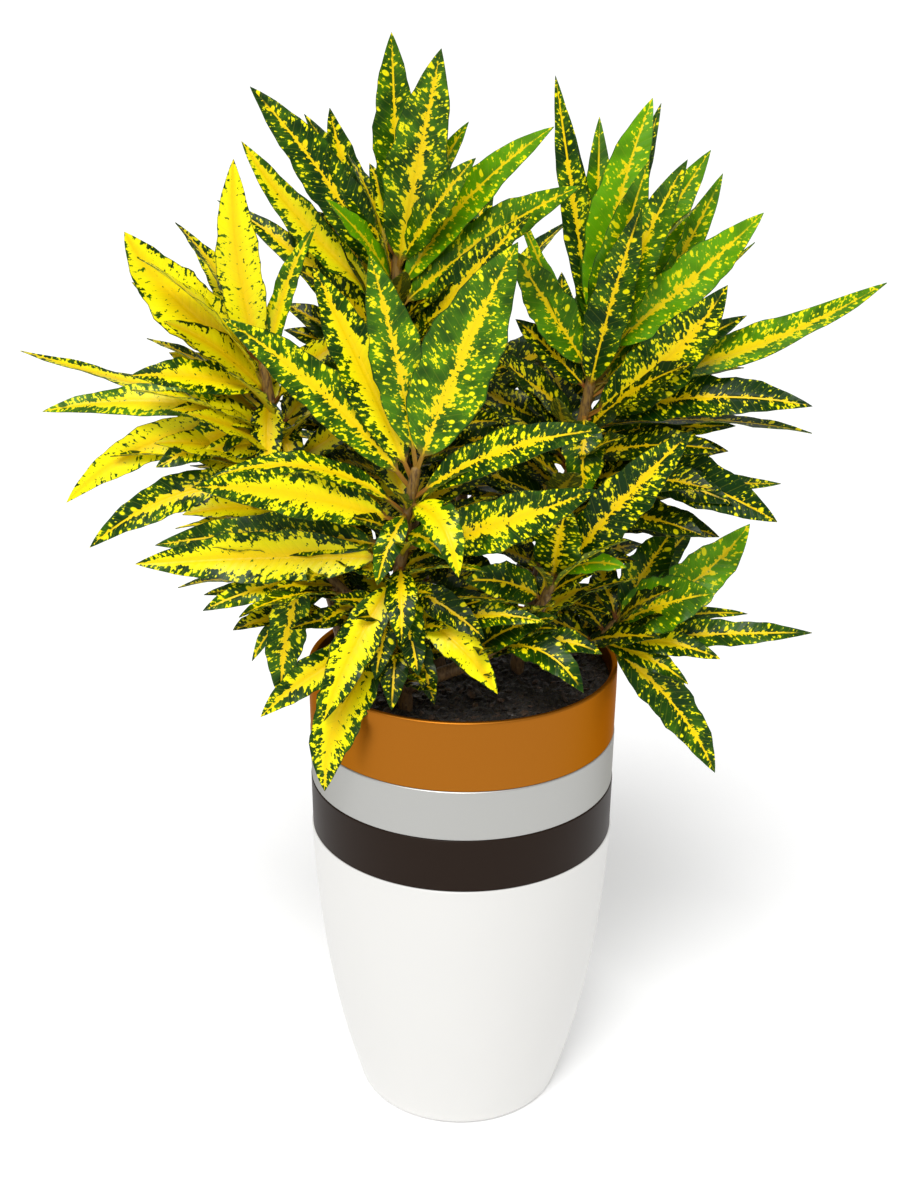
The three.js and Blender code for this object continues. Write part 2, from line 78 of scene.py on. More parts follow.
def grid_faces(rows, columns, wrap_rows=False):
    """Faces of a grid whose columns close on themselves: each point (i, j) is joined to
    (i, j + 1), (i + 1, j + 1) and (i + 1, j). With wrap_rows the last row joins the first."""
    row = np.arange(rows if wrap_rows else rows - 1)[:, None]
    column = np.arange(columns)[None, :]
    after = (row + 1) % rows
    beside = (column + 1) % columns
    quads = [row * columns + column, row * columns + beside,
             after * columns + beside, after * columns + column]
    return np.stack(quads, -1).reshape(-1, 4).tolist()


print("a tube of 3 rings of 4 points has", len(grid_faces(3, 4)), "faces")

# %% [markdown]
# ## Node helpers
# A material is a small network of nodes. It could be wired by hand in the shader editor. These
# helpers add a node and join its inputs in one line, so that each finish below reads as a list of
# steps. An effect that several finishes share is a node group: it is built once, with named inputs
# and outputs, and placed in each material.

# %% Helpers for nodes
def feed(tree, socket, value):
    """Joins another node's output to a socket, or sets the socket to a number or a colour."""
    if isinstance(value, bpy.types.NodeSocket):
        tree.links.new(value, socket)
    else:
        socket.default_value = value


def add_node(tree, kind, inputs=None, **settings):
    """A node of that kind in the tree. Each input is a number, a colour or another node's output."""
    node = tree.nodes.new(kind)
    for key, value in settings.items():
        setattr(node, key, value)
    for key, value in (inputs or {}).items():
        feed(tree, node.inputs[key], value)
    return node


def maths(tree, operation, first, second=0.0, third=0.0):
    """The output of one Math node."""
    return add_node(tree, "ShaderNodeMath", {0: first, 1: second, 2: third},
                    operation=operation).outputs[0]


def ramp(tree, value, low, high, start=0.0, end=1.0):
    """A smooth step: start below low, end above high."""
    inputs = {"Value": value, "From Min": low, "From Max": high, "To Min": start, "To Max": end}
    node = add_node(tree, "ShaderNodeMapRange", interpolation_type="SMOOTHSTEP")
    for key, number in inputs.items():
        feed(tree, node.inputs[key], number)
    return node.outputs["Result"]


def blend(tree, amount, first, second, kind="MIX"):
    """The colour that lies `amount` of the way from first to second."""
    node = add_node(tree, "ShaderNodeMix", data_type="RGBA", blend_type=kind)
    for index, value in ((0, amount), (6, first), (7, second)):
        feed(tree, node.inputs[index], value)
    return node.outputs[2]


def noise(tree, place, scale, detail, **more):
    """The strength, 0 to 1, of a cloudy noise. A larger scale gives finer clouds."""
    return add_node(tree, "ShaderNodeTexNoise",
                    {"Vector": place, "Scale": scale, "Detail": detail, **more}).outputs["Fac"]


def rgb(red, green, blue):
    """A colour as a paint chart gives it, 0 to 255, turned into the linear light Blender works in:
    c / 12.92 for dark shades and ((c + 0.055) / 1.055) ** 2.4 for the others."""
    share = np.array([red, green, blue]) / 255
    light = np.where(share <= 0.04045, share / 12.92, ((share + 0.055) / 1.055) ** 2.4)
    return (*light.tolist(), 1.0)


print("a middle grey of 128 is", round(rgb(128, 128, 128)[0], 3), "in linear light")

# %% [markdown]
# ## Groups and finishes
# A finish ends in one Principled shader. Numbers that are the same all over the piece are set on
# the shader itself, and only what changes over the surface is wired to it, because an exported
# model can keep both only in that form. Every finish here also has a fine relief, through a Bump
# node, which tilts the light without adding faces.

# %% Helpers for finishes
def new_group(name, inputs, outputs):
    """An empty node group with its sockets, and its inside ends."""
    group = bpy.data.node_groups.new(name, "ShaderNodeTree")
    for label, kind in inputs.items():
        group.interface.new_socket(label, in_out="INPUT", socket_type=kind)
    for label, kind in outputs.items():
        group.interface.new_socket(label, in_out="OUTPUT", socket_type=kind)
    return group, group.nodes.new("NodeGroupInput").outputs, group.nodes.new("NodeGroupOutput")


def new_finish(name, **sockets):
    """A material with its one Principled shader, and numbers that are the same all over it."""
    material = bpy.data.materials.new(name)
    material.use_nodes = True
    tree = material.node_tree
    shader = tree.nodes["Principled BSDF"]
    for key, value in sockets.items():
        shader.inputs[key.replace("_", " ")].default_value = value
    return material, tree, shader


def dress(tree, shader, colour, roughness, height, strength, depth):
    """Wires colour, roughness and a relief `depth` metres deep to the shader."""
    bump = add_node(tree, "ShaderNodeBump",
                    {"Height": height, "Strength": strength, "Distance": depth})
    tree.links.new(colour, shader.inputs["Base Color"])
    tree.links.new(roughness, shader.inputs["Roughness"])
    tree.links.new(bump.outputs[0], shader.inputs["Normal"])


print("node groups so far:", len(bpy.data.node_groups))

# %% [markdown]
# ## The planter's finish
# The planter and its collars are moulded plastic. The white is plain and softly glossy, the brown is
# nearly satin, and silver and copper are pearly paints with a very fine sparkle. One plain colour
# would do from afar, but a real moulding is never quite flat, and carries a little handling wear.
# That unevenness is one node group with its own strengths for each colour.

# %% Moulded plastic
def moulded_skin():
    """Group: a broad ripple of the surface, and specks of pearl, both read from the place on the
    piece. Shade = 1 + (broad - 0.5) x unevenness + (specks - 0.5) x pearl, Roughness = gloss +
    0.12 (broad - 0.5) + 0.1 (specks - 0.5), and Height = broad + 0.15 (specks - 0.5)."""
    group, ins, out = new_group(
        "moulded skin",
        {"Unevenness": "NodeSocketFloat", "Pearl": "NodeSocketFloat", "Gloss": "NodeSocketFloat"},
        {"Shade": "NodeSocketFloat", "Roughness": "NodeSocketFloat", "Height": "NodeSocketFloat"})
    place = add_node(group, "ShaderNodeTexCoord").outputs["Object"]
    broad = noise(group, place, 14.0, 3.0)
    drift = maths(group, "SUBTRACT", broad, 0.5)
    grain = maths(group, "SUBTRACT", noise(group, place, 2200.0, 1.0), 0.5)
    pearl = maths(group, "MULTIPLY", grain, ins["Pearl"])
    shade = maths(group, "MULTIPLY_ADD", drift, ins["Unevenness"], 1.0)
    rough = maths(group, "MULTIPLY_ADD", drift, 0.12, ins["Gloss"])
    group.links.new(maths(group, "ADD", shade, pearl), out.inputs["Shade"])
    group.links.new(maths(group, "MULTIPLY_ADD", grain, 0.1, rough), out.inputs["Roughness"])
    group.links.new(maths(group, "MULTIPLY_ADD", grain, 0.15, broad), out.inputs["Height"])
    return group


SKIN = moulded_skin()


def plastic(name, colour, gloss, unevenness, pearl, metallic, specular, edge=(1, 1, 1, 1)):
    """A moulded or painted plastic in one colour. A pearl paint has a tint of its own where it is
    seen at a slant."""
    material, tree, shader = new_finish(name, Metallic=metallic, Specular_IOR_Level=specular,
                                        Specular_Tint=edge)
    skin = add_node(tree, "ShaderNodeGroup", node_tree=SKIN)
    for key, value in (("Unevenness", unevenness), ("Pearl", pearl), ("Gloss", gloss)):
        skin.inputs[key].default_value = value
    shade = skin.outputs["Shade"]
    tint = add_node(tree, "ShaderNodeCombineColor", {"Red": shade, "Green": shade, "Blue": shade})
    colour = blend(tree, 1.0, colour, tint.outputs[0], "MULTIPLY")
    dress(tree, shader, colour, skin.outputs["Roughness"], skin.outputs["Height"], 0.12, 0.0004)
    return material


WHITE = plastic("white plastic", rgb(222, 221, 218), 0.34, 0.03, 0.0, 0.0, 0.4)
BROWN = plastic("brown plastic", rgb(36, 25, 18), 0.44, 0.10, 0.15, 0.0, 0.10)
SILVER = plastic("silver pearl", rgb(184, 184, 181), 0.44, 0.05, 0.08, 0.9, 0.3,
                 rgb(170, 168, 162))
COPPER = plastic("copper pearl", rgb(168, 103, 31), 0.42, 0.06, 0.10, 1.0, 0.3,
                 rgb(196, 170, 140))
print("finishes:", ", ".join(m.name for m in (WHITE, BROWN, SILVER, COPPER)))

# %% [markdown]
# ## Turned shapes
# The planter is round, so it is a profile turned about the upright axis, as on a potter's wheel.
# Blender's Spin and Screw tools do that too, but a formula keeps every ring at its exact radius. The
# profile is drawn once as a few corners. Each corner is then softened by a small curve, because a
# perfectly sharp edge never catches the light, and real moulded edges always do.

# %% Soften a profile
def soften(profile, reach=0.5, closed=True):
    """Each corner C becomes the curve (1-t)^2 A + 2t(1-t) C + t^2 B, where A and B lie `reach`
    millimetres before and after C. A further point on each side holds the flat's shading."""
    profile = np.asarray(profile, float)
    corner = profile if closed else profile[1:-1]
    before = (np.roll(profile, 1, 0) if closed else profile[:-2]) - corner
    after = (np.roll(profile, -1, 0) if closed else profile[2:]) - corner
    points = []
    for side, steps in ((before, (2.0, 1.0)), (after, (1.0, 2.0))):
        length = np.linalg.norm(side, axis=1, keepdims=True)
        step = side / length * np.minimum(reach, 0.22 * length)
        points.append([corner + step * s for s in steps])
    (hold_a, a), (b, hold_b) = points
    curve = [(1 - t) ** 2 * a + 2 * t * (1 - t) * corner + t ** 2 * b for t in (0.25, 0.5, 0.75)]
    soft = np.stack([hold_a, a, *curve, b, hold_b], 1).reshape(-1, 2)
    return soft if closed else np.concatenate([profile[:1], soft, profile[-1:]])


print("a softened square has", len(soften([(0, 0), (9, 0), (9, 9), (0, 9)])), "points")

# %% [markdown]
# ## Rings into a skin
# Turning a profile gives a stack of rings. A collar is open like a napkin ring, so its last ring
# joins its first. The planter and the soil are closed in the middle, so each end gets one point on
# the axis and a fan of triangles round it. Leaves and stems end in narrow rings instead, which are
# closed by a few four-sided faces laid straight across.

# %% Turn a profile
def skin_of_rings(rings, ends=None):
    """Points and faces of rings, an (n, around, 3) array. The last ring joins the first, or, with
    two end points, a fan closes each end."""
    count, around = rings.shape[:2]
    points = rings.reshape(-1, 3)
    faces = grid_faces(count, around, wrap_rows=ends is None)
    if ends is None:
        return points, faces
    j = np.arange(around)
    beside, top, centre = (j + 1) % around, (count - 1) * around, np.full(around, len(points))
    faces += np.stack([beside, j, centre], 1).tolist()
    faces += np.stack([top + j, top + beside, centre + 1], 1).tolist()
    return np.concatenate([points, ends]), faces


def ring_caps(count, around):
    """Faces straight across the first and the last of `count` rings: points j and j + 1 of one side
    are joined to the two that lie opposite."""
    j = np.arange(around // 2 - 1)
    across = np.stack([j, j + 1, around - 2 - j, around - 1 - j], 1)
    return np.concatenate([across[:, ::-1], across + (count - 1) * around])


def turn(name, profile, material, slot, node, around=144):
    """The profile's point (r, z) goes to (r cos a, r sin a, z) for each angle a. A profile that
    starts and ends on the axis is closed there."""
    profile = np.asarray(profile)
    on_axis = profile[0, 0] == 0
    line = profile[1:-1] if on_axis else profile
    angle = np.linspace(0, 2 * np.pi, around, endpoint=False)
    rings = np.stack([line[:, None, 0] * np.cos(angle), line[:, None, 0] * np.sin(angle),
                      np.broadcast_to(line[:, None, 1], (len(line), around))], -1)
    ends = [(0, 0, profile[0, 1]), (0, 0, profile[-1, 1])] if on_axis else None
    return make_piece(name, *skin_of_rings(rings, ends), material, slot, node)


print("two rings of 8 points are capped by", len(ring_caps(2, 8)), "faces")

# %% [markdown]
# ## The planter's sizes
# The white body draws in slowly under its mouth and faster towards the foot. It could be traced
# point by point, but a cubic in the depth below the mouth follows it smoothly: three numbers say
# how much the wall has drawn in by the depth, its square and its cube. Each collar stands in a
# rebate of the piece below, which is why a bright ledge and a thin dark seam show between the
# colours.

# %% Planter sizes
MOUTH, WHITE_TOP, BROWN_TOP, SILVER_TOP, LIP_TOP = 126.0, 253.0, 298.0, 340.0, 398.0
TAPER = (11.0, 17.0, 12.0)
WALL, FLOOR, FOOT = 4.0, 6.0, 7.5
BAND, FLARE, EDGE, SEAM = 125.0, 0.5, 0.8, 0.3
SPIGOT, SPIGOT_WALL = 10.0, 1.8
INNER = BAND - WALL


def wall_radius(z):
    """126 - 11 d - 17 d^2 - 12 d^3, with d the share of the height below the mouth."""
    d = 1 - np.asarray(z) / WHITE_TOP
    return MOUTH - TAPER[0] * d - TAPER[1] * d ** 2 - TAPER[2] * d ** 3


def seat(outer, top):
    """The stepped upper edge that the next piece stands in, from the outside inwards."""
    rebate = INNER + SPIGOT_WALL + SEAM
    return [(outer, top - EDGE), (outer - EDGE, top), (rebate, top),
            (rebate, top - SPIGOT - SEAM), (INNER, top - SPIGOT - SEAM)]


def spigot(bottom):
    """The skirt that goes down inside the piece below, up to the collar's own lower edge."""
    return [(INNER, bottom - SPIGOT), (INNER + SPIGOT_WALL, bottom - SPIGOT),
            (INNER + SPIGOT_WALL, bottom + SEAM), (BAND, bottom + SEAM)]


print("the planter is", 2 * MOUTH, "mm wide at its mouth and",
      round(2 * float(wall_radius(FOOT)), 1), "mm at its foot")

# %% [markdown]
# ## The white body and the plain collars
# The white body is one profile from the middle of the foot, out round the foot's edge, up the
# outside, over the stepped mouth, down the inside and back to the axis along the floor. The brown
# and the silver collar differ only in their heights, so both come from the same two outlines.

# %% Turn the planter
LOWEST_RING, HIGHEST_RING = 14, 246
heights = np.linspace(LOWEST_RING, HIGHEST_RING, 30)
outside = np.stack([wall_radius(heights), heights], 1)
inside = np.stack([wall_radius(heights[::-1]) - WALL, heights[::-1]], 1)[4:]
bend = np.radians(np.linspace(0, 90, 9))
foot = np.stack([wall_radius(FOOT) - FOOT * (1 - np.sin(bend)), FOOT * (1 - np.cos(bend))], 1)
mouth = soften([outside[-1], *seat(MOUTH, WHITE_TOP), inside[0]], 0.5, closed=False)
floor_edge = [(wall_radius(FLOOR) - WALL - 1, FLOOR), (0, FLOOR)]
white_profile = np.concatenate([[(0, 0)], foot, outside[:-1], mouth, inside[1:], floor_edge])
turn("planter_body", white_profile, WHITE, "white_plastic", "planter_white")

flared = BAND + FLARE
turn("brown_collar", soften([*spigot(WHITE_TOP), *seat(flared, BROWN_TOP)]), BROWN,
     "brown_plastic", "collar_brown")
turn("silver_collar", soften([*spigot(BROWN_TOP), *seat(flared, SILVER_TOP)]), SILVER,
     "silver_plastic", "collar_silver")

# %% [markdown]
# ## The copper collar
# The copper collar ends in a rounded lip. A Bevel modifier could round it, but a half circle
# squeezed in height and drawn with sines and cosines keeps its highlight one clean line all the way
# round.

# %% Turn the lipped collar
LIP = 1.8
half_turn = np.radians(np.linspace(0, 180, 13))
middle, half_wall = (flared + INNER) / 2, (flared - INNER) / 2
lip = np.stack([middle + half_wall * np.cos(half_turn),
                LIP_TOP - LIP + LIP * np.sin(half_turn)], 1)
lower = soften([(INNER, LIP_TOP - 20), *spigot(SILVER_TOP), (flared, LIP_TOP - 20)], closed=False)
turn("copper_collar", np.concatenate([lower, [(flared, LIP_TOP - 4)], lip, [(INNER, LIP_TOP - 4)]]),
     COPPER, "copper_plastic", "collar_copper")

# %% [markdown]
# ## The lumps of potting soil
# Soil is a heap of small lumps. It could be sculpted, or pushed up by a texture. Here fourteen long
# and short waves in turned directions, added together, give an uneven top that never repeats. It is
# a function of the place alone, so the bark chips can ask it how high the soil is where they lie.

# %% The lumps of the soil
SOIL_TOP = 385.0
SOIL_LEVEL = 380.5
LONGEST_WAVE, SHORTEST_WAVE, WAVES = 90, 5, 14
GOLDEN_ANGLE = math.pi * (3 - math.sqrt(5))


def soil_height(x, y):
    """380.5 + the sum over k of a sin(2 pi (x cos d + y sin d) / w + 2 k), with the direction d
    turned by the golden angle each time, the wave w shrinking from 90 to 5 mm, and a = 0.05 w^0.6
    + 0.2, so that long waves are the higher ones."""
    height = np.full(np.broadcast(x, y).shape, SOIL_LEVEL)
    for k, wave in enumerate(np.geomspace(LONGEST_WAVE, SHORTEST_WAVE, WAVES)):
        along = x * math.cos(k * GOLDEN_ANGLE) + y * math.sin(k * GOLDEN_ANGLE)
        height += (0.05 * wave ** 0.6 + 0.2) * np.sin(2 * np.pi * along / wave + 2 * k)
    return np.minimum(height, SOIL_TOP)


across_soil = soil_height(np.linspace(-110, 110, 200), 0.0)
print("along one line the soil lies between", across_soil.min().round(1), "and",
      across_soil.max().round(1), "mm")

# %% [markdown]
# ## The soil's finish
# Wet potting soil is nearly black, with browner crumbs and tiny wet glints. An image of soil would
# repeat and stretch down the sides. Instead fine noise drives the colour, cells of a Voronoi pattern
# the gloss, and both push the surface up and down. Each bark chip has its own shade of brown, kept on
# its points.

# %% Soil and bark finishes
def soil_finish():
    """Dark crumbs: colour, gloss and height all follow patterns of the place on the piece."""
    material, tree, shader = new_finish("potting soil")
    place = add_node(tree, "ShaderNodeTexCoord").outputs["Object"]
    crumbs = noise(tree, place, 380.0, 6.0, Roughness=0.7)
    lumps = add_node(tree, "ShaderNodeTexVoronoi", {"Vector": place, "Scale": 260.0}).outputs
    colour = blend(tree, ramp(tree, crumbs, 0.42, 0.72), rgb(14, 11, 8), rgb(62, 46, 30))
    gloss = ramp(tree, lumps["Color"], 0.2, 0.8, 0.35, 0.95)
    height = maths(tree, "MULTIPLY_ADD", crumbs, 1.0, lumps["Distance"])
    dress(tree, shader, colour, gloss, height, 0.9, 0.002)
    return material


def bark_finish():
    """Bark chips: each chip has its own shade, kept in the attribute chip_tone."""
    material, tree, shader = new_finish("bark chips")
    tone = add_node(tree, "ShaderNodeAttribute", attribute_name="chip_tone").outputs["Fac"]
    place = add_node(tree, "ShaderNodeTexCoord").outputs["Object"]
    fibre = noise(tree, place, 700.0, 4.0)
    chip = blend(tree, tone, rgb(20, 14, 9), rgb(86, 58, 34))
    colour = blend(tree, ramp(tree, fibre, 0.35, 0.75), chip, rgb(34, 26, 20))
    dress(tree, shader, colour, ramp(tree, fibre, 0.3, 0.7, 0.35, 0.8), fibre, 0.6, 0.0008)
    return material


SOIL = soil_finish()
BARK = bark_finish()
print("finishes:", SOIL.name, "and", BARK.name)

# %% [markdown]
# ## The plug of soil
# The soil fills the planter from floor to lip. Only its top shows, but a thin sheet there would let
# light leak in at the edge, so it is a whole plug: it follows the planter's inner wall, and only its
# top is uneven.

# %% Fill the planter with soil
def soil_plug(name, around=220):
    """Rings go up the wall and back in over the top, where z = soil_height."""
    wall_z = np.array([FLOOR + SEAM, 28, 75, 130, 190, WHITE_TOP - SPIGOT - SEAM])
    wall_r = wall_radius(wall_z) - WALL - SEAM
    wall = np.concatenate([np.stack([wall_r, wall_z], 1), [(INNER - SEAM, wall_z[-1] + 0.5),
                                                           (INNER - SEAM, 340)]])
    angle = np.linspace(0, 2 * np.pi, around, endpoint=False)
    radius = np.concatenate([wall[:, 0], np.linspace(INNER - SEAM, 1.2, 64)])
    x, y = radius[:, None] * np.cos(angle), radius[:, None] * np.sin(angle)
    z = np.concatenate([np.broadcast_to(wall[:, 1:], (len(wall), around)),
                        soil_height(x[len(wall):], y[len(wall):])])
    ends = [(0, 0, FLOOR + SEAM), (0, 0, float(soil_height(0.0, 0.0)))]
    return make_piece(name, *skin_of_rings(np.stack([x, y, z], -1), ends), SOIL, "soil", "soil")


soil_plug("soil_fill")

# %% [markdown]
# ## A lump of bark
# Potting mix holds flat chips of bark. A chip starts as a twenty-sided lump, the icosahedron, which
# Blender also offers as an Ico Sphere. It has only 20 faces, so hundreds of chips stay light, and
# once each corner has been pushed in or out a little, no two look alike.

# %% A twenty-sided lump
def twenty_sided():
    """The 12 corners of an icosahedron, (0, +-1, +-g) turned through the axes, and its 20 faces."""
    g = (1 + math.sqrt(5)) / 2
    corners = np.array([(-1, g, 0), (1, g, 0), (-1, -g, 0), (1, -g, 0), (0, -1, g), (0, 1, g),
                        (0, -1, -g), (0, 1, -g), (g, 0, -1), (g, 0, 1), (-g, 0, -1), (-g, 0, 1)])
    faces = np.array([(0, 11, 5), (0, 5, 1), (0, 1, 7), (0, 7, 10), (0, 10, 11), (1, 5, 9),
                      (5, 11, 4), (11, 10, 2), (10, 7, 6), (7, 1, 8), (3, 9, 4), (3, 4, 2),
                      (3, 2, 6), (3, 6, 8), (3, 8, 9), (4, 9, 5), (2, 4, 11), (6, 2, 10),
                      (8, 6, 7), (9, 8, 1)])
    return corners / math.hypot(1, g), faces


def turned_by(vectors, axis_a, axis_b, angle):
    """The vectors turned by an angle in the plane of two axes: (a cos - b sin, a sin + b cos)."""
    out = vectors.copy()
    c, s = np.cos(angle)[:, None], np.sin(angle)[:, None]
    out[..., axis_a] = vectors[..., axis_a] * c - vectors[..., axis_b] * s
    out[..., axis_b] = vectors[..., axis_a] * s + vectors[..., axis_b] * c
    return out


corners, chip_faces = twenty_sided()
print("a lump has", len(corners), "corners and", len(chip_faces), "faces")

# %% [markdown]
# ## Scatter the chips
# The chips could be dropped by a physics simulation or placed as particles, but particles are lost
# in an export. They are laid out like the seeds of a sunflower instead, each one golden angle
# further round, which spreads them evenly. Seeded dice then shift, size and tilt each one, the same
# way on every run, and none may lie where a stem stands.

# %% Scatter bark chips
STEM_FEET = np.array([(-45, -62), (-90, -20), (-20, 12), (45, 16), (0, 103)], float)
CHIPS, CHIP_REACH, CLEAR_OF_STEMS = 420, 113, 12
dice = np.random.default_rng(11)
index = np.arange(CHIPS)
chip_r = CHIP_REACH * np.sqrt((index + 0.5) / CHIPS)
chip_xy = np.stack([chip_r * np.cos(index * GOLDEN_ANGLE), chip_r * np.sin(index * GOLDEN_ANGLE)], 1)
chip_xy += dice.uniform(-2, 2, chip_xy.shape)
from_stems = np.linalg.norm(chip_xy[:, None] - STEM_FEET[None], axis=2).min(1)
chip_xy = chip_xy[from_stems > CLEAR_OF_STEMS]
count = len(chip_xy)
long_side = dice.uniform(1.6, 6.5, count)
size = np.stack([long_side, long_side * dice.uniform(0.35, 0.8, count),
                 long_side * dice.uniform(0.15, 0.4, count)], 1)
chips = corners[None] * dice.uniform(0.8, 1.15, (count, 12, 1)) * size[:, None]
chips = turned_by(chips, 0, 2, dice.uniform(-0.45, 0.45, count))
chips = turned_by(chips, 1, 2, dice.uniform(-0.35, 0.35, count))
chips = turned_by(chips, 0, 1, dice.uniform(0, 2 * np.pi, count))
chip_z = soil_height(chip_xy[:, 0], chip_xy[:, 1]) + size[:, 2] * 0.4
chips += np.concatenate([chip_xy, chip_z[:, None]], 1)[:, None]
every_face = (chip_faces[None] + 12 * np.arange(count)[:, None, None]).reshape(-1, 3).tolist()
bark = make_piece("bark_chips", chips.reshape(-1, 3), every_face, BARK, "soil")
bark.data.set_sharp_from_angle(angle=math.radians(35))
tone = bark.data.attributes.new("chip_tone", "FLOAT", "POINT")
tone.data.foreach_set("value", np.repeat(dice.uniform(0, 1, count) ** 2, 12).astype(np.float32))
print(f"  {count} chips, {long_side.min():.1f} to {long_side.max():.1f} mm from middle to end")

# %% [markdown]
# ## A place on the leaf
# The specks of a croton leaf follow the leaf as it bends, so its pattern isn't read from the place
# in the room. Each point of a leaf knows how far it is across and along its own leaf, in
# millimetres. An unwrapped UV map could carry that too, but a named value on each point also has
# room for the leaf's number. The specks are drawn out along the side veins, which leave the rib at
# a slant.

# %% The slanted place
def slanted_place(group, place):
    """Leaf place (across, along) turned into (along a side vein, over the veins), which leave the
    rib at 52 degrees on both sides: a = 0.62 y + 0.78 |x|, b = 0.78 y - 0.62 |x|. The third value
    is the leaf's number and its side, so that no two halves look the same."""
    across = maths(group, "ABSOLUTE", place["X"])
    along_vein = maths(group, "MULTIPLY_ADD", place["Y"], 0.62, maths(group, "MULTIPLY", across, 0.78))
    over_veins = maths(group, "MULTIPLY_ADD", place["Y"], 0.78,
                       maths(group, "MULTIPLY", across, -0.62))
    own = maths(group, "MULTIPLY_ADD", maths(group, "SIGN", place["X"]), 2.3,
                maths(group, "MULTIPLY", place["Z"], 7.1))
    drawn_out = maths(group, "MULTIPLY", along_vein, 0.6)
    slanted = add_node(group, "ShaderNodeCombineXYZ", {"X": drawn_out, "Y": over_veins, "Z": own})
    return slanted.outputs[0], over_veins, across


print("a side vein leaves the rib at", round(math.degrees(math.atan2(0.78, 0.62))), "degrees")

# %% [markdown]
# ## Where the green fails
# The green of a croton leaf fails in two ways. Along the midrib it fails altogether, in a stripe
# that may be a few millimetres wide or nearly the whole leaf, with spurs along the side veins. On
# the rest it fails in dots and blotches. The spots could be painted by hand on each leaf. Instead
# one noise is read against a threshold that jumps at the edge of the stripe: inside it is yellow
# with a few green specks, outside green with yellow dots. One number, the leaf's gold, sets both.

# %% Where a leaf is yellow
def yellow_share(group, slanted, clouds, edge, along, gold):
    """Reach of the stripe = (0.08 + 1.05 gold^3.2) x (1, falling towards the tip to 0.15 on a green
    leaf and 0.8 on a golden one), made uneven by specks and clouds. Yellow where 2.3 (speck - 0.5)
    + threshold > 0, the threshold being 0.42 - 0.3 |v| inside the stripe and 0.3 gold - 0.38 + 0.7
    (cloud - 0.5) outside it; or inside one of the round dots, some large and some small."""
    specks = maths(group, "SUBTRACT", noise(group, slanted, 0.36, 2.5, Roughness=0.6), 0.5)
    drift = maths(group, "MULTIPLY", maths(group, "SUBTRACT", clouds, 0.5), 0.7)
    golden = maths(group, "POWER", gold, 3.2)
    reach = maths(group, "MULTIPLY_ADD", golden, 1.05, 0.08)
    tip_reach = ramp(group, golden, 0.3, 0.9, 0.15, 0.8)
    reach = maths(group, "MULTIPLY", reach, ramp(group, along, 0.5, 1.0, 1.0, tip_reach))
    reach = maths(group, "MULTIPLY_ADD", specks, 0.9, reach)
    inside = maths(group, "SUBTRACT", maths(group, "MULTIPLY_ADD", drift, 0.8, reach), edge)
    inside = ramp(group, inside, -0.02, 0.03)
    bright = maths(group, "MULTIPLY_ADD", edge, -0.3, 0.42)
    dull = maths(group, "ADD", maths(group, "MULTIPLY_ADD", gold, 0.3, -0.38), drift)
    threshold = add_node(group, "ShaderNodeMix", {0: inside, 2: dull, 3: bright}, data_type="FLOAT")
    total = maths(group, "MULTIPLY_ADD", specks, 2.3, threshold.outputs[0])
    for scale, largest in ((0.17, 0.36), (0.3, 0.32)):
        cells = add_node(group, "ShaderNodeTexVoronoi", {"Vector": slanted, "Scale": scale})
        dot_size = ramp(group, cells.outputs["Color"], 0.2, 1.0, -0.02, largest)
        dots = maths(group, "SUBTRACT", dot_size, cells.outputs["Distance"])
        total = maths(group, "MAXIMUM", total, maths(group, "MULTIPLY", dots, 1.5))
    return total, specks


print("stripe's reach by gold:",
      {gold: round(0.08 + 1.05 * gold ** 3.2, 2) for gold in (0.3, 0.6, 0.9)})

# %% [markdown]
# ## The leaf's colours
# New leaves are a fresh green and old ones nearly black-green. The yellow deepens towards the rib, and
# a thin halo of lime lies where green gives way. The yellowest leaves are the oldest and have a few
# brown spots. Leaves deep in the plant get painted shade: their colour is blended towards a dull dark
# green. Each of these is one blend over the last colour, in the order a painter would lay them on.

# %% Paint the leaf
OLD_GREEN, FRESH_GREEN, LIME = rgb(14, 48, 2), rgb(104, 168, 4), rgb(140, 176, 8)
DEEP_GOLD, BRIGHT_GOLD, YOUNG_GOLD = rgb(254, 212, 4), rgb(254, 241, 4), rgb(190, 214, 30)
BROWN_SPOT, SIDE_VEIN, RIM_GREEN = rgb(120, 62, 8), rgb(170, 176, 40), rgb(18, 52, 8)
OLD_STALK, YOUNG_STALK = rgb(140, 80, 34), rgb(160, 140, 40)
# The second colour on the next line is painted shade, the dull dark green laid on leaves deep in the
# plant.
UNDERSIDE, PAINTED_SHADE_GREEN = rgb(140, 150, 50), rgb(28, 34, 2)


def green_and_gold(group, total, yellow, clouds, edge, youth_and_shade):
    """The ground colours: green by youth, its lime halo, gold by the distance from the rib."""
    fresh = maths(group, "MULTIPLY_ADD", maths(group, "SUBTRACT", clouds, 0.5), 0.8, youth_and_shade)
    fresh = maths(group, "POWER", ramp(group, fresh, 0.0, 1.0), 1.3)
    green = blend(group, fresh, OLD_GREEN, FRESH_GREEN)
    green = blend(group, ramp(group, total, -0.16, 0.0, 0.0, 0.34), green, LIME)
    gold = blend(group, ramp(group, edge, 0.0, 0.6), DEEP_GOLD, BRIGHT_GOLD)
    gold = blend(group, maths(group, "MULTIPLY", youth_and_shade, 0.3), gold, YOUNG_GOLD)
    return blend(group, yellow, green, gold)


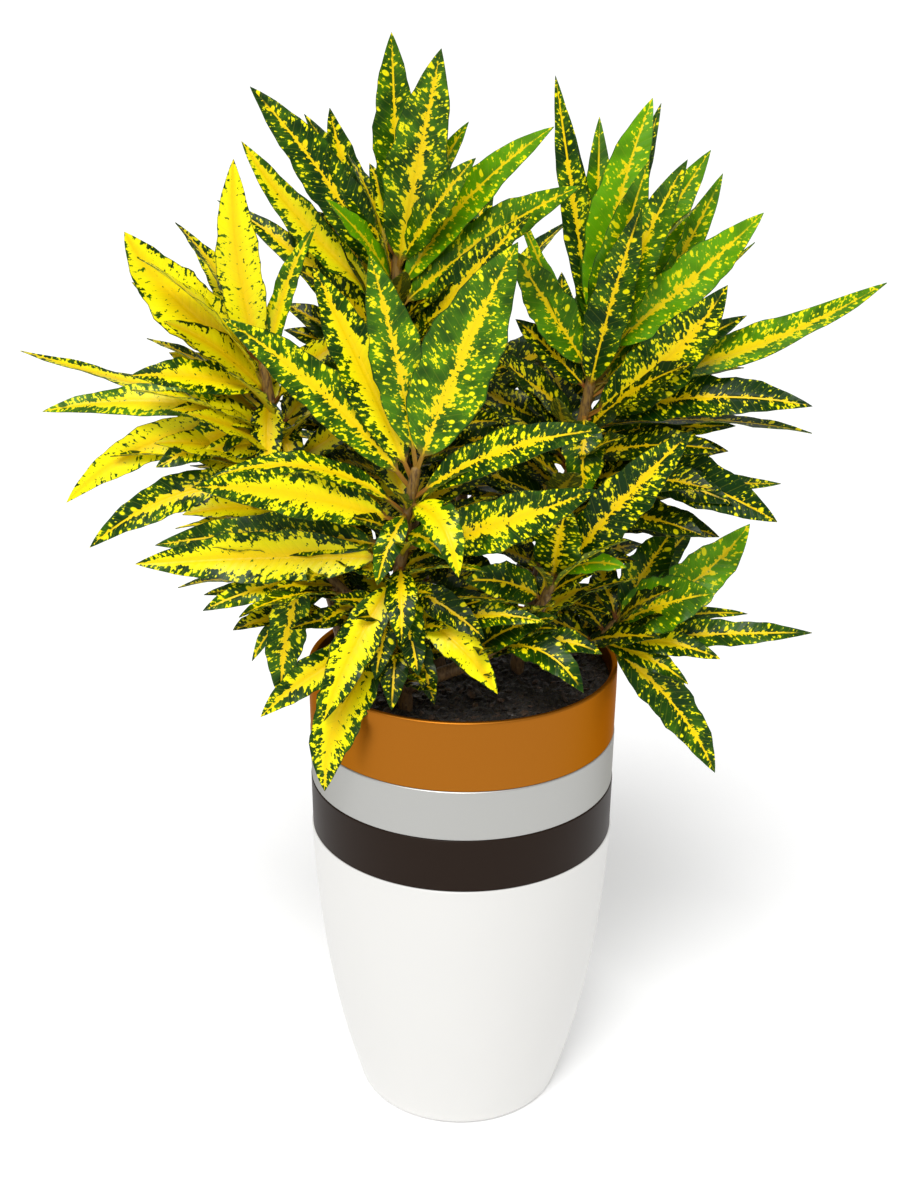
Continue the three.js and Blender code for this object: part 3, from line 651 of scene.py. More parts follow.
def marks_of_age(group, colour, place, gold, wave, edge, along, youth_and_shade):
    """Brown spots on the yellowest leaves, paler side veins, a dark rim and a reddish stalk."""
    worn = add_node(group, "ShaderNodeTexVoronoi", {"Vector": place, "Scale": 0.022})
    worn = ramp(group, worn.outputs["Distance"], 0.06, 0.13, 0.9, 0.0)
    worn = maths(group, "MULTIPLY", worn, ramp(group, gold, 1.0, 1.04))
    colour = blend(group, worn, colour, BROWN_SPOT)
    colour = blend(group, ramp(group, wave, 0.9, 1.0, 0.0, 0.12), colour, SIDE_VEIN)
    colour = blend(group, ramp(group, edge, 0.95, 0.99, 0.0, 0.75), colour, RIM_GREEN)
    stalk_colour = blend(group, youth_and_shade, OLD_STALK, YOUNG_STALK)
    return blend(group, ramp(group, along, 0.085, 0.15, 1.0, 0.0), colour, stalk_colour)


def underside_and_painted_shade(group, colour, underside, youth_and_shade):
    """The paler underside, and painted shade: leaves whose youth is below 0 are blended towards a dull
    dark green.
    """
    colour = blend(group, underside, colour, blend(group, 0.4, colour, UNDERSIDE))
    # Painted shade: a youth below 0 blends the leaf towards a dull dark green.
    painted_shade = maths(group, "MAXIMUM", maths(group, "MULTIPLY", youth_and_shade, -1.0), 0.0)
    return blend(group, painted_shade, colour, PAINTED_SHADE_GREEN)


print("green channel of old and fresh leaves:", round(OLD_GREEN[1], 3), round(FRESH_GREEN[1], 3))

# %% [markdown]
# ## The leaf pattern as one group
# The group takes what a point of a leaf knows about itself and gives colour, gloss and height. The
# blade is quilted between its veins, and the rib lies in a groove: too fine for faces, so that
# relief is left to the Bump node.

# %% The leaf pattern as a node group
def leaf_pattern():
    """Group. Place is (across, along, leaf number) in mm. Tone is (across as a share of the half
    width, along as a share of the length, gold). The youth input is 1 for new leaves, 0 for old dark
    ones, and below 0 for painted shade, which blends a leaf towards a dull dark green."""
    group, ins, out = new_group(
        "croton leaf pattern",
        {"Place": "NodeSocketVector", "Tone": "NodeSocketVector", "Youth and shade": "NodeSocketFloat",
         "Underside": "NodeSocketFloat"},
        {"Color": "NodeSocketColor", "Roughness": "NodeSocketFloat", "Height": "NodeSocketFloat"})
    place = add_node(group, "ShaderNodeSeparateXYZ", {0: ins["Place"]}).outputs
    tone = add_node(group, "ShaderNodeSeparateXYZ", {0: ins["Tone"]}).outputs
    edge = maths(group, "ABSOLUTE", tone["X"])
    slanted, over_veins, across = slanted_place(group, place)
    wave = maths(group, "SINE", maths(group, "MULTIPLY", over_veins, 1.15))
    clouds = noise(group, ins["Place"], 0.06, 1.0)
    total, specks = yellow_share(group, slanted, clouds, edge, tone["Y"], tone["Z"])
    rib = maths(group, "MULTIPLY", ramp(group, across, 0.45, 0.95, 1.0, 0.0),
                ramp(group, tone["Y"], 0.8, 0.95, 1.0, 0.0))
    yellow = maths(group, "MAXIMUM", ramp(group, total, -0.02, 0.04), rib)

    colour = green_and_gold(group, total, yellow, clouds, edge, ins["Youth and shade"])
    colour = marks_of_age(group, colour, ins["Place"], tone["Z"], wave, edge, tone["Y"], ins["Youth and shade"])
    colour = underside_and_painted_shade(group, colour, ins["Underside"], ins["Youth and shade"])
    gloss = maths(group, "MULTIPLY_ADD", ins["Underside"], 0.2, 0.32)
    quilt = maths(group, "MULTIPLY_ADD", wave, -0.14, ramp(group, across, 0.2, 2.2))
    group.links.new(colour, out.inputs["Color"])
    group.links.new(maths(group, "MULTIPLY_ADD", specks, 0.15, gloss), out.inputs["Roughness"])
    group.links.new(maths(group, "MULTIPLY_ADD", specks, 0.5, quilt), out.inputs["Height"])
    return group


def leaf_finish():
    """The leaf pattern fed by the leaf's own attributes: leaf_place, leaf_tone, the youth that also
    carries painted shade, and underside.
    """
    material, tree, shader = new_finish("croton leaf", Specular_IOR_Level=0.15)
    pattern = add_node(tree, "ShaderNodeGroup", node_tree=leaf_pattern())
    for socket, name, output in (("Place", "leaf_place", "Vector"), ("Tone", "leaf_tone", "Vector"),
                                 ("Youth and shade", "youth_and_shade", "Fac"), ("Underside", "underside", "Fac")):
        attribute = add_node(tree, "ShaderNodeAttribute", attribute_name=name)
        tree.links.new(attribute.outputs[output], pattern.inputs[socket])
    colour, roughness, height = pattern.outputs
    dress(tree, shader, colour, roughness, height, 0.5, 0.0006)
    return material


LEAF = leaf_finish()
print("the leaf pattern has", len(bpy.data.node_groups["croton leaf pattern"].nodes), "nodes")

# %% [markdown]
# ## The finish of the stems
# The stems are woody: grey brown at the foot, olive where they are still green, with fine streaks
# along them and pale scars where old leaves have dropped. Streaks are a noise stretched along the
# upright axis by a Mapping node, and the scars are the middles of Voronoi cells.

# %% Stem bark
def stem_finish():
    """Bark of a young stem: from brown to olive by the share of its length, streaked and scarred."""
    material, tree, shader = new_finish("croton stem")
    share = add_node(tree, "ShaderNodeAttribute", attribute_name="stem_share").outputs["Fac"]
    place = add_node(tree, "ShaderNodeTexCoord").outputs["Object"]
    stretched = add_node(tree, "ShaderNodeMapping", {"Vector": place, "Scale": (1, 1, 0.25)})
    streaks = noise(tree, stretched.outputs[0], 520.0, 4.0)
    scars = add_node(tree, "ShaderNodeTexVoronoi", {"Vector": place, "Scale": 150.0})
    wood = blend(tree, share, rgb(106, 78, 46), rgb(146, 112, 46))
    wood = blend(tree, ramp(tree, streaks, 0.4, 0.7), wood, rgb(78, 54, 32))
    scar = ramp(tree, scars.outputs["Distance"], 0.08, 0.22, 0.6, 0.0)
    colour = blend(tree, scar, wood, rgb(150, 128, 92))
    dress(tree, shader, colour, ramp(tree, streaks, 0.3, 0.7, 0.5, 0.8), streaks, 0.5, 0.0008)
    return material


STEM = stem_finish()
print("finish:", STEM.name)

# %% [markdown]
# ## The form of a leaf
# A leaf hangs between two points: its base on the stem and its tip. It could be modelled once and
# copied, but copies of one leaf are easy to spot. So each leaf is worked out afresh from a few
# numbers. Its rib bows between base and tip. Its width swells quickly after the bare stalk and
# tapers slowly to a point, which a power of the distance from each end gives. The two halves lift
# from the rib like an open book, and the edges ripple. All leaves of a stem are worked out at
# once, as one array: leaf, station along the leaf, place across it, and then x, y, z.

# %% Leaf sizes
STALK = 0.1
SWELL, TAPER_OFF = 0.66, 0.9
STALK_HALF, STALK_DEPTH, THICKNESS = 1.6, 2.4, 0.8
FOLD, RIPPLE, RIPPLES = 0.22, 1.6, 2.5
NARROWEST = 0.12
ALONG = np.concatenate([np.linspace(0, STALK, 4),
                        STALK + (1 - STALK) * np.linspace(0, 1, 27)[1:] ** 1.05])
ACROSS = np.sin(np.radians(np.linspace(-90, 90, 11)))


def unit(vectors):
    """Each vector divided by its length."""
    return vectors / np.linalg.norm(vectors, axis=-1, keepdims=True)


def square_to(vectors, direction):
    """The part of each vector at right angles to a unit direction, made one long."""
    return unit(vectors - (vectors * direction).sum(-1, keepdims=True) * direction)


def half_width(share, width):
    """w/2 * s^0.66 (1 - s)^0.9 / its largest value, with s the share of the length after the
    stalk, and never thinner than the stalk, which shrinks to nothing at the tip."""
    s = np.clip((share - STALK) / (1 - STALK), 0, 1)
    peak = SWELL / (SWELL + TAPER_OFF)
    blade = s ** SWELL * (1 - s) ** TAPER_OFF / (peak ** SWELL * (1 - peak) ** TAPER_OFF)
    return np.maximum(np.maximum(STALK_HALF * (1 - s), width[:, None] / 2 * blade), NARROWEST)


sample = half_width(ALONG[None], np.array([40.0]))[0]
print("a leaf 40 mm wide is widest at", round(float(ALONG[sample.argmax()]), 2), "of its length")

# %% [markdown]
# ## The surface of a leaf
# The middle surface is found first, without thickness. Each station along the rib has three
# directions, along, across and square to both, so width and ripple follow the rib however it bows.
# The waves of the two edges are shifted against each other, and slower and faster waves make the
# width uneven, because no living edge is a clean curve.

# %% The leaf surface
def leaf_surface(base, tip, width, arch, face_turn, phase):
    """Middle surface of the leaves, (leaf, along, across, 3). Rib: base + s (tip - base) + up
    4 arch L s (1 - s). A point across: rib + v half across + (fold half |v|^1.3 + ripple v^2
    sin(pi b) (sin(2 pi 2.5 b + phase) + a finer crimp)) normal, with b the share of the blade."""
    chord = tip - base
    length = np.linalg.norm(chord, axis=-1, keepdims=True)
    along = chord / length
    up = square_to(np.array([0.0, 0.0, 1.0]), along)
    zero = np.zeros_like(face_turn)
    face = square_to(np.stack([zero, -face_turn, 1 - face_turn], -1), along)
    s = ALONG[None, :, None]
    bow = (arch[:, None] * length * 4)[:, None]
    rib = base[:, None] + chord[:, None] * s + up[:, None] * bow * s * (1 - s)
    tangent = unit(chord[:, None] + up[:, None] * bow * (1 - 2 * s))
    across = unit(np.cross(tangent, face[:, None]))
    normal = np.cross(across, tangent)
    b = np.clip((ALONG - STALK) / (1 - STALK), 0, 1)[None, :, None]
    v = ACROSS[None, None]
    phase = phase[:, None, None]
    uneven = (0.06 * np.sin(2 * np.pi * 3.3 * b + 1.7 * phase + 2 * np.sign(v))
              + 0.04 * np.sin(2 * np.pi * 7.7 * b + 3.1 * phase - np.sign(v)))
    half = half_width(ALONG[None], width)[..., None] * (1 + np.sin(np.pi * b) * uneven)
    wave = np.sin(2 * np.pi * RIPPLES * b + phase + np.where(v < 0, np.pi / 2, 0))
    crimp = 0.3 * np.sin(2 * np.pi * 8.3 * b + 2 * phase + np.sign(v))
    lift = FOLD * half * np.abs(v) ** 1.3 + RIPPLE * np.sin(np.pi * b) * v ** 2 * (wave + crimp)
    points = rib[:, :, None] + across[:, :, None] * (half * v)[..., None]
    return points + normal[:, :, None] * lift[..., None], half, length[:, 0]


print("a leaf has", len(ALONG), "stations of", len(ACROSS), "points")

# %% [markdown]
# ## Room for each stem
# Leaves of neighbouring stems would run deep into each other if each went straight to its tip. On a
# real plant they push one another aside where they meet. A collision simulation could do that, but
# it would be slow and never twice the same. Four flat cuts share out the air instead. A leaf may
# cross a cut a little, so that neighbours mingle, but the further it goes the more it is bent
# back, along a smooth curve. The solids use the same cuts and stop just short of them.

# %% Bend leaves back at the cuts
CROSSING, BEND_ZONE = 25.0, 12.0
CUTS = {
    "behindFront": ((0.0, 1.0, 0.0), -41.0),
    "rightOfLeft": ((0.6, 0.8, 0.0), -60.0),
    "beforeBack": ((0.0, -1.0, 0.0), -94.0),
    "rightOfTop": ((0.507, 0.862, 0.0), 27.0),
}


def keep_in_share(points, sides):
    """With d the distance to a cut on the stem's own side: where d < 12, the new distance is
    37 exp((d - 12) / 37) - 25, which no point can bring below -25."""
    for cut, side in sides:
        normal, offset = np.array(CUTS[cut][0]) * side, CUTS[cut][1] * side
        distance = points @ normal - offset
        room = BEND_ZONE + CROSSING
        bent = room * np.exp((np.minimum(distance, BEND_ZONE) - BEND_ZONE) / room) - CROSSING
        push = np.where(distance < BEND_ZONE, bent - distance, 0)
        points = points + push[..., None] * normal
    return points


far_over = keep_in_share(np.array([[0.0, -141.0, 0.0]]), [("behindFront", 1)])
print("a point 100 mm over a cut ends up", round(-41 - float(far_over[0, 1]), 1), "mm over it")

# %% [markdown]
# ## Thickness
# A leaf is a closed sheet. A Solidify modifier would give every part the same thickness, but here
# the stalk is deeper than the blade, and a ridge runs under the rib. The upper and the under side
# are the middle surface moved out along its normals. Going once round each cross-section, over the
# top and back below, makes a closed ring, and rings joined along the leaf make a skin with no open
# edge.

# %% Close the leaves
def close_leaves(middle, half):
    """Ring of each station: the upper points left to right, then the lower ones right to left.
    Upper = P + n h, lower = P - n (h + depth), h = 0.4 sqrt(1 - 0.8 v^6), depth = the stalk's round
    underside + a ridge 0.7 exp(-(v half)^2 / 1.5) under the rib. Returns points and faces."""
    slope_along = np.gradient(middle, axis=1)
    slope_across = np.gradient(middle, axis=2)
    normal = unit(np.cross(slope_across, slope_along))
    v = ACROSS[None, None]
    h = np.broadcast_to(THICKNESS / 2 * np.sqrt(1 - 0.8 * v ** 6), middle.shape[:3])
    stalk = np.clip(1 - (ALONG[None, :, None] - 0.06) / 0.08, 0, 1)
    ridge = 0.7 * np.exp(-(v * half) ** 2 / 1.5) * (1 - ALONG[None, :, None])
    depth = stalk * (STALK_DEPTH - THICKNESS) * np.sqrt(1 - v ** 2 * 0.99) + ridge
    upper = middle + normal * h[..., None]
    lower = middle - normal * (h + depth)[..., None]
    rings = np.concatenate([upper, lower[:, :, ::-1]], axis=2)
    leaves, stations, around = rings.shape[:3]
    one = np.concatenate([grid_faces(stations, around), ring_caps(stations, around)])
    faces = one[None] + (np.arange(leaves) * stations * around)[:, None, None]
    return rings.reshape(-1, 3), faces.reshape(-1, 4)


print("a closed leaf has", len(ALONG) * 2 * len(ACROSS), "points")

# %% [markdown]
# ## Where leaves grow
# A branch is a path of a few points. The leaves that give the plant its outline are rows of numbers,
# one for each leaf. The many small ones in the shade could be scattered at random, but a stem sets its
# leaves by a rule: each next leaf is turned on by the golden share of its arc, so that no leaf lies
# straight above another. Fill leaves are the bright ones of such a rule, and shade leaves the wider,
# shorter ones behind them, which carry painted shade: they are painted a duller, darker green.

# %% Leaves of a branch
GOLDEN, SCATTER = 0.618034, 0.754878
FILL_WIDTH, SHADE_WIDTH, FILL_ARCH = 0.21, 0.29, 0.07
# A youth below 0, as for shade leaves, paints the leaf with painted shade.
FILL_AGE, PAINTED_SHADE_AGE, USUAL_AGE = 0.2, -0.35, 0.25
FILL_TURN, SHADE_TURN = 0.0, 0.4


def on_path(path, share):
    """Points at shares of a path's length, straight between its corners."""
    path = np.asarray(path, float)
    run = np.concatenate([[0], np.cumsum(np.linalg.norm(np.diff(path, axis=0), axis=1))])
    return np.stack([np.interp(share * run[-1], run, path[:, k]) for k in range(3)], -1)


def rule_leaves(path, rule, width, turn, gold, age):
    """Leaf i of n: place and rise grow evenly, heading = from + (to - from) frac(0.618 (i + 1)),
    length = from + (to - from) frac(0.755 (i + 1)), gold = the stem's, give or take 0.15. Gives
    rows as in the tables below."""
    n, place_a, place_b, turn_a, turn_b, rise_a, rise_b, short, long = rule
    i = np.arange(n)
    share = (i + 0.5) / n
    place = place_a + (place_b - place_a) * share
    heading = np.radians(turn_a + (turn_b - turn_a) * ((i + 1) * GOLDEN % 1))
    rise = np.radians(rise_a + (rise_b - rise_a) * share)
    length = short + (long - short) * ((i + 1) * SCATTER % 1)
    way = np.stack([np.cos(heading) * np.cos(rise), np.sin(heading) * np.cos(rise), np.sin(rise)], 1)
    tip = on_path(path, place) + way * length[:, None]
    golden = gold + 0.3 * ((i * 0.37) % 1 - 0.5)
    same = np.ones(n)
    return np.column_stack([place, tip, length * width, FILL_ARCH * same, turn * same, golden,
                            age * same])


def branch_leaves(branch, gold):
    """All leaves of a branch as rows, and each one's phase, which starts again with each rule. A
    row that leaves out its youth gets the usual one."""
    path, fill, shade = branch["path"], (FILL_WIDTH, FILL_TURN), (SHADE_WIDTH, SHADE_TURN)
    rows = [np.array([(*row, USUAL_AGE)[:9] for row in branch["leaves"]], float).reshape(-1, 9)]
    rows += [rule_leaves(path, rule, *fill, gold, FILL_AGE) for rule in branch["fills"]]
    rows += [rule_leaves(path, rule, *shade, gold, PAINTED_SHADE_AGE) for rule in branch["shade"]]
    phase = [2 * np.pi * (np.arange(len(r)) * SCATTER % 1) for r in rows]
    return np.concatenate(rows), np.concatenate(phase)


print("headings of five leaves, as shares of their arc:", (np.arange(1, 6) * GOLDEN % 1).round(2))

# %% [markdown]
# ## Stems
# A stem is a round tube along its path, swelling a little at every old leaf joint, with a soft bud
# on top. A curve with a bevel would make a tube too, but not one that swells and closes as a dome.
# Its rings stand square to the path: one direction of each ring is the y axis, made square to the
# path, and the other is square to both.

# %% Stems of a plant
STEM_FOOT, STEM_TIP, HOLE_DEPTH = 6.0, 4.0, 30.0


def stem_tube(path, in_soil, around=16):
    """Ring at share s: path(s) + r(s) (cos a wide + sin a deep), r = (6 to 4) (1 + 0.04 sin
    joints), closing as a dome over the last part and at the foot. Returns points, faces, shares."""
    path = np.array(path, float)
    if in_soil:
        path = np.concatenate([[(*path[0, :2], SOIL_TOP - HOLE_DEPTH + SEAM)], path])
    length = np.linalg.norm(np.diff(path, axis=0), axis=1).sum()
    share = np.concatenate([[0, 0.002], np.linspace(0.02, 0.985, int(length / 4)),
                            1 - 0.012 * np.cos(np.radians([15, 40, 62, 80, 89]))])
    share = np.unique(share)
    centre = on_path(path, share)
    soft = centre.copy()
    soft[1:-1] = (centre[:-2] + 2 * centre[1:-1] + centre[2:]) / 4
    ahead = unit(np.gradient(soft, axis=0))
    deep = square_to(np.broadcast_to([0.0, 1.0, 0.0], ahead.shape), ahead)
    wide = np.cross(deep, ahead)
    radius = STEM_FOOT + (STEM_TIP - STEM_FOOT) * share
    radius = radius * (1 + 0.04 * np.sin(share * length / 2.2))
    from_end = np.clip((1 - share) * length / 5, 0, 1)
    radius = radius * np.sqrt(np.clip(1 - (1 - from_end) ** 2, 0.001, 1))
    radius[0] = 0.2
    angle = np.linspace(0, 2 * np.pi, around, endpoint=False)
    rim = (np.cos(angle)[None, :, None] * wide[:, None] + np.sin(angle)[None, :, None] * deep[:, None])
    points = soft[:, None] + rim * radius[:, None, None]
    faces = np.concatenate([grid_faces(len(share), around), ring_caps(len(share), around)])
    return points.reshape(-1, 3), faces, np.repeat(share, around)


straight = stem_tube([(0, 0, 0), (0, 0, 100)], in_soil=False)
print("a stem 100 mm long has", len(straight[0]), "points")

# %% [markdown]
# ## Grow a leafy stem
# One leafy stem becomes two pieces: its wood and its leaves. Its branches and leaves need no Boolean
# union, because they only have to look joined, and roots sunk into the wood do. The leaves carry four
# values on every point for the finish: the place on the leaf in millimetres with the leaf's number,
# the same place as shares with its gold, its youth, which below 0 paints the leaf with painted shade,
# and whether the point is on the underside.

# %% Build one leafy stem
STEM_NAMES = ("back", "front", "left", "right", "top")
NUMBERS_APART = 40


def store(mesh, name, kind, field, values):
    """Keeps one value for every point of the mesh under a name that the finish can read."""
    layer = mesh.attributes.new(name, kind, "POINT")
    layer.data.foreach_set(field, np.ascontiguousarray(values, np.float32).ravel())


def grow_wood(name, branches):
    """The tubes of all branches as one piece. Only the first branch stands in the soil."""
    tubes = [stem_tube(branch["path"], number == 0) for number, branch in enumerate(branches)]
    first = np.cumsum([0] + [len(points) for points, _, _ in tubes[:-1]])
    faces = np.concatenate([tube[1] + start for tube, start in zip(tubes, first)]).tolist()
    wood = make_piece("wood_" + name, np.concatenate([tube[0] for tube in tubes]), faces, STEM,
                      "croton_leaf", "leafy_stem_" + name)
    store(wood.data, "stem_share", "FLOAT", "value", np.concatenate([tube[2] for tube in tubes]))


def grow(name, sides, gold, *branches):
    """The wood and the leaves of one leafy stem, standing for its solid. The leaves keep to their
    sides of the cuts, and gold is that of the leaves that follow a rule."""
    grow_wood(name, branches)
    sets = [branch_leaves(branch, gold) for branch in branches]
    row, phase = (np.concatenate(part) for part in zip(*sets))
    base = np.concatenate([on_path(branch["path"], rows[:, 0])
                           for branch, (rows, _) in zip(branches, sets)])
    middle, half, length = leaf_surface(base, row[:, 1:4], row[:, 4], row[:, 5], row[:, 6], phase)
    points, faces = close_leaves(keep_in_share(middle, sides), half)
    leaves = make_piece("leaves_" + name, points, faces.tolist(), LEAF, "croton_leaf",
                        "leafy_stem_" + name)
    leaves.data.set_sharp_from_angle(angle=math.radians(70))

    ring = np.concatenate([ACROSS, ACROSS[::-1]])
    shape = (len(row), len(ALONG), len(ring))
    number = np.arange(len(row), dtype=float) + NUMBERS_APART * STEM_NAMES.index(name)
    along = np.broadcast_to(ALONG[:, None], shape)
    each_leaf = [np.broadcast_to(values[:, None, None], shape)
                 for values in (number, row[:, 7], row[:, 8])]
    across_mm = np.concatenate([half, half[..., ::-1]], axis=2) * ring
    place = np.stack([across_mm, along * length[:, None, None], each_leaf[0]], -1)
    tone = np.stack([np.broadcast_to(ring, shape), along, each_leaf[1]], -1)
    under = np.broadcast_to(np.arange(len(ring)) >= len(ACROSS), shape)
    store(leaves.data, "leaf_place", "FLOAT_VECTOR", "vector", place)
    store(leaves.data, "leaf_tone", "FLOAT_VECTOR", "vector", tone)
    # The youth, below 0 on leaves that get painted shade.
    store(leaves.data, "youth_and_shade", "FLOAT", "value", each_leaf[2])
    store(leaves.data, "underside", "FLOAT", "value", under)
    print(f"  {len(row)} leaves on {len(branches)} branches, {length.min():.0f} to "
          f"{length.max():.0f} mm from base to tip")


print("stems to grow:", ", ".join(STEM_NAMES))

# %% [markdown]
# ## The front stem
# The front stem carries the broad bright leaves in the middle, a low side branch to the left whose
# leaves hang over the lip, and another to the right. Rules alone would give a plant, but not this
# one: the outline is what the eye knows it by. So each leaf that shows has a row of its own, and
# rules fill the inside.
#
# A row gives: place on the branch, tip x, y and z, width, arch as a share of the length, turn of the
# face (0 up, 1 to the front), gold and, where it isn't the usual one, youth, which below 0 paints the
# leaf with painted shade. A rule gives: count, place from and to, heading from and to in degrees, rise
# from and to, length from and to.

# %% Grow the front stem
front_main = dict(
    path=[(-45, -62, 388), (-50, -67, 440), (-50, -70, 490), (-44, -71, 535), (-36, -72, 580)],
    leaves=[
        (0.99, -68, -85, 735, 38, 0.02, 0.6, 0.42, 0.45),
        (0.93, -110, -50, 720, 38, 0.01, 0.6, 0.76),
        (0.95, 33, -105, 747, 56, 0.02, 0.6, 0.42, 0.45),
        (0.9, -175, -60, 685, 36, 0.05, 0.6, 0.52, 0.35),
        (0.76, -194, -115, 576, 36, 0.05, 0.6, 0.76),
        (0.8, -185, -90, 575, 26, 0.15, 0.3, 0.66),
        (0.62, -245, -80, 505, 39, 0.02, 0.75, 0.86),
        (0.66, -235, -52, 510, 33, 0.05, 0.6, 0.35),
        (0.28, -155, -90, 385, 28, 0.08, 0.7, 0.72),
        (0.55, -105, -105, 390, 30, 0.06, 0.6, 0.92),
        (0.45, -95, -95, 395, 24, 0.1, 0.6, 0.6),
        (0.3, -106, -106, 330, 39, 0.14, 0.6, 0.82),
        (0.33, -90, -90, 402, 22, 0.08, 0.6, 0.62),
        (0.5, -40, -100, 445, 26, 0.15, 0.6, 0.45),
        (0.86, 96, -120, 621, 30, 0.07, 0.55, 0.5),
        (0.66, 90, -130, 581, 38, -0.02, 0.7, 0.62),
        (0.84, -5, -130, 515, 27, 0.25, 0.5, 0.85, 0.4),
        (0.42, 25, -110, 415, 27, 0.1, 0.6, 0.98),
        (0.28, 60, -90, 465, 24, 0.1, 0.5, 0.6),
        (0.28, 20, -80, 480, 14, 0.05, 0.6, 0.6),
        (0.56, -104, -124, 398, 31, 0.05, 0.6, 0.84, 0.2),
        (0.5, -66, -108, 425, 22, 0.06, 0.6, 0.5, -0.15),
        (0.47, -34, -112, 430, 22, 0.08, 0.55, 0.4, -0.1),
        (0.36, -54, -112, 402, 22, 0.05, 0.6, 0.35, -0.25),
        (0.4, -22, -102, 402, 20, 0.05, 0.5, 0.4, -0.3),
        (0.52, 15, -100, 455, 24, 0.06, 0.6, 0.4, -0.2),
        (0.82, -64, -108, 500, 20, 0.1, 0.6, 0.5, 0.3),
        (0.72, -14, -112, 522, 18, 0.12, 0.6, 0.45, 0.4),
        (0.6, -46, -118, 458, 24, 0.12, 0.7, 0.6, 0.1),
    ],
    fills=[(4, 0.35, 0.85, -60, 20, 0, 45, 70, 110)],
    shade=[(14, 0.1, 0.85, -10, 190, 12, 35, 65, 105), (12, 0.1, 0.85, 190, 350, 12, 35, 45, 62),
           (8, 0.05, 0.4, 150, 390, 14, 25, 45, 60)],
)
front_low_left = dict(
    path=[(-49, -66, 430), (-80, -60, 465), (-118, -56, 500)],
    leaves=[
        (0.8, -195, -90, 472, 22, 0.06, 0.6, 0.4),
        (0.6, -200, -52, 470, 18, 0.06, 0.5, 0.4),
        (1, -140, -80, 395, 30, 0.07, 0.5, 0.45),
        (0.7, -165, -52, 415, 16, 0.1, 0.5, 0.45),
    ],
    fills=[(2, 0.5, 1, 170, 260, 0, 20, 80, 110)],
    shade=[(10, 0.3, 1, 90, 270, 0, 20, 52, 68)],
)
front_low_right = dict(
    path=[(-46, -63, 398), (10, -60, 420), (52, -60, 452), (70, -62, 492)],
    leaves=[
        (0.97, 160, -95, 614, 37, 0.02, 0.7, 0.5, 0.1),
        (1, 120, -80, 505, 18, 0.12, 0.5, 0.2, 1),
        (0.95, 72, -110, 563, 36, 0.05, 0.5, 0.55),
        (0.5, 105, -80, 435, 22, 0.12, 0.5, 0.6),
        (0.5, 90, -100, 412, 26, 0.2, 0.5, 0.35),
        (0.85, 0, -85, 495, 30, 0.1, 0.6, 0.3),
        (0.3, 70, -80, 465, 26, 0.1, 0.5, 0.3),
    ],
    fills=[(2, 0.6, 1, -60, 60, 10, 50, 70, 100)],
    shade=[(14, 0.2, 1, -120, 120, 12, 40, 48, 66)],
)
grow("front", [("behindFront", -1)], 0.6, front_main, front_low_left, front_low_right)

# %% [markdown]
# ## The left stem
# The left stem leans away from the others into the light, and its leaves are almost pure yellow
# with a few green specks. It needs no colours of its own: the same pattern turns yellow when the
# gold of each leaf is high.

# %% Grow the left stem
left_main = dict(
    path=[(-90, -20, 388), (-105, -16, 460), (-130, -8, 540), (-150, 0, 610), (-155, 3, 640)],
    leaves=[
        (1, -255, 10, 735, 46, -0.08, 0.6, 0.97),
        (0.94, -264, 70, 687, 24, 0.02, 0.5, 0.84),
        (0.98, -217, 75, 724, 18, 0.03, 0.5, 0.88),
        (0.85, -350, 45, 637, 24, -0.02, 0.1, 0.84),
        (0.82, -325, 0, 600, 30, 0.06, 0.45, 0.78, 0.5),
        (0.8, -310, -10, 530, 30, 0.12, 0.7, 1.05),
        (0.905, -250, -28, 635, 30, 0.05, 0.5, 0.8),
        (0.86, -235, -30, 565, 30, 0, 0.6, 0.62),
        (0.75, -200, -28, 575, 22, 0.05, 0.6, 0.86),
        (0.62, -290, -30, 500, 32, 0.12, 0.6, 0.62),
        (0.96, -169, -10, 790, 33, -0.05, 0.6, 1.0),
        (0.92, -110, -15, 745, 18, 0.07, 0.5, 0.7, 0.5),
        (0.9, -150, -30, 563, 26, 0.08, 0.6, 0.8, 0),
        (0.84, -128, -30, 545, 24, 0.1, 0.6, 0.6, 0),
        (0.8, -163, -30, 535, 24, 0.1, 0.6, 0.75, -0.1),
        (0.7, -120, -30, 500, 22, 0.1, 0.6, 0.5, -0.2),
        (0.55, -70, -33, 508, 32, 0.08, 0.6, 0.5, -0.3),
        (0.45, -68, -33, 470, 32, 0.08, 0.6, 0.45, -0.35),
        (0.62, -74, -33, 552, 30, 0.08, 0.6, 0.5, -0.2),
        (0.35, -64, -33, 440, 28, 0.06, 0.6, 0.4, -0.4),
    ],
    fills=[(7, 0.6, 1, 130, 215, 5, 60, 120, 150), (4, 0.25, 0.6, 110, 215, -5, 15, 100, 130)],
    shade=[(30, 0.2, 0.9, 0, 360, 0, 40, 70, 115), (8, 0.4, 0.8, 150, 210, 0, 20, 90, 120)],
)
grow("left", [("behindFront", 1), ("rightOfLeft", -1)], 0.88, left_main)

# %% [markdown]
# ## The top stem
# The top stem is the tallest. Its leaves stand up steeply round the growing tip, so their rows start
# close together near place 1 and differ mainly in where the tips go.

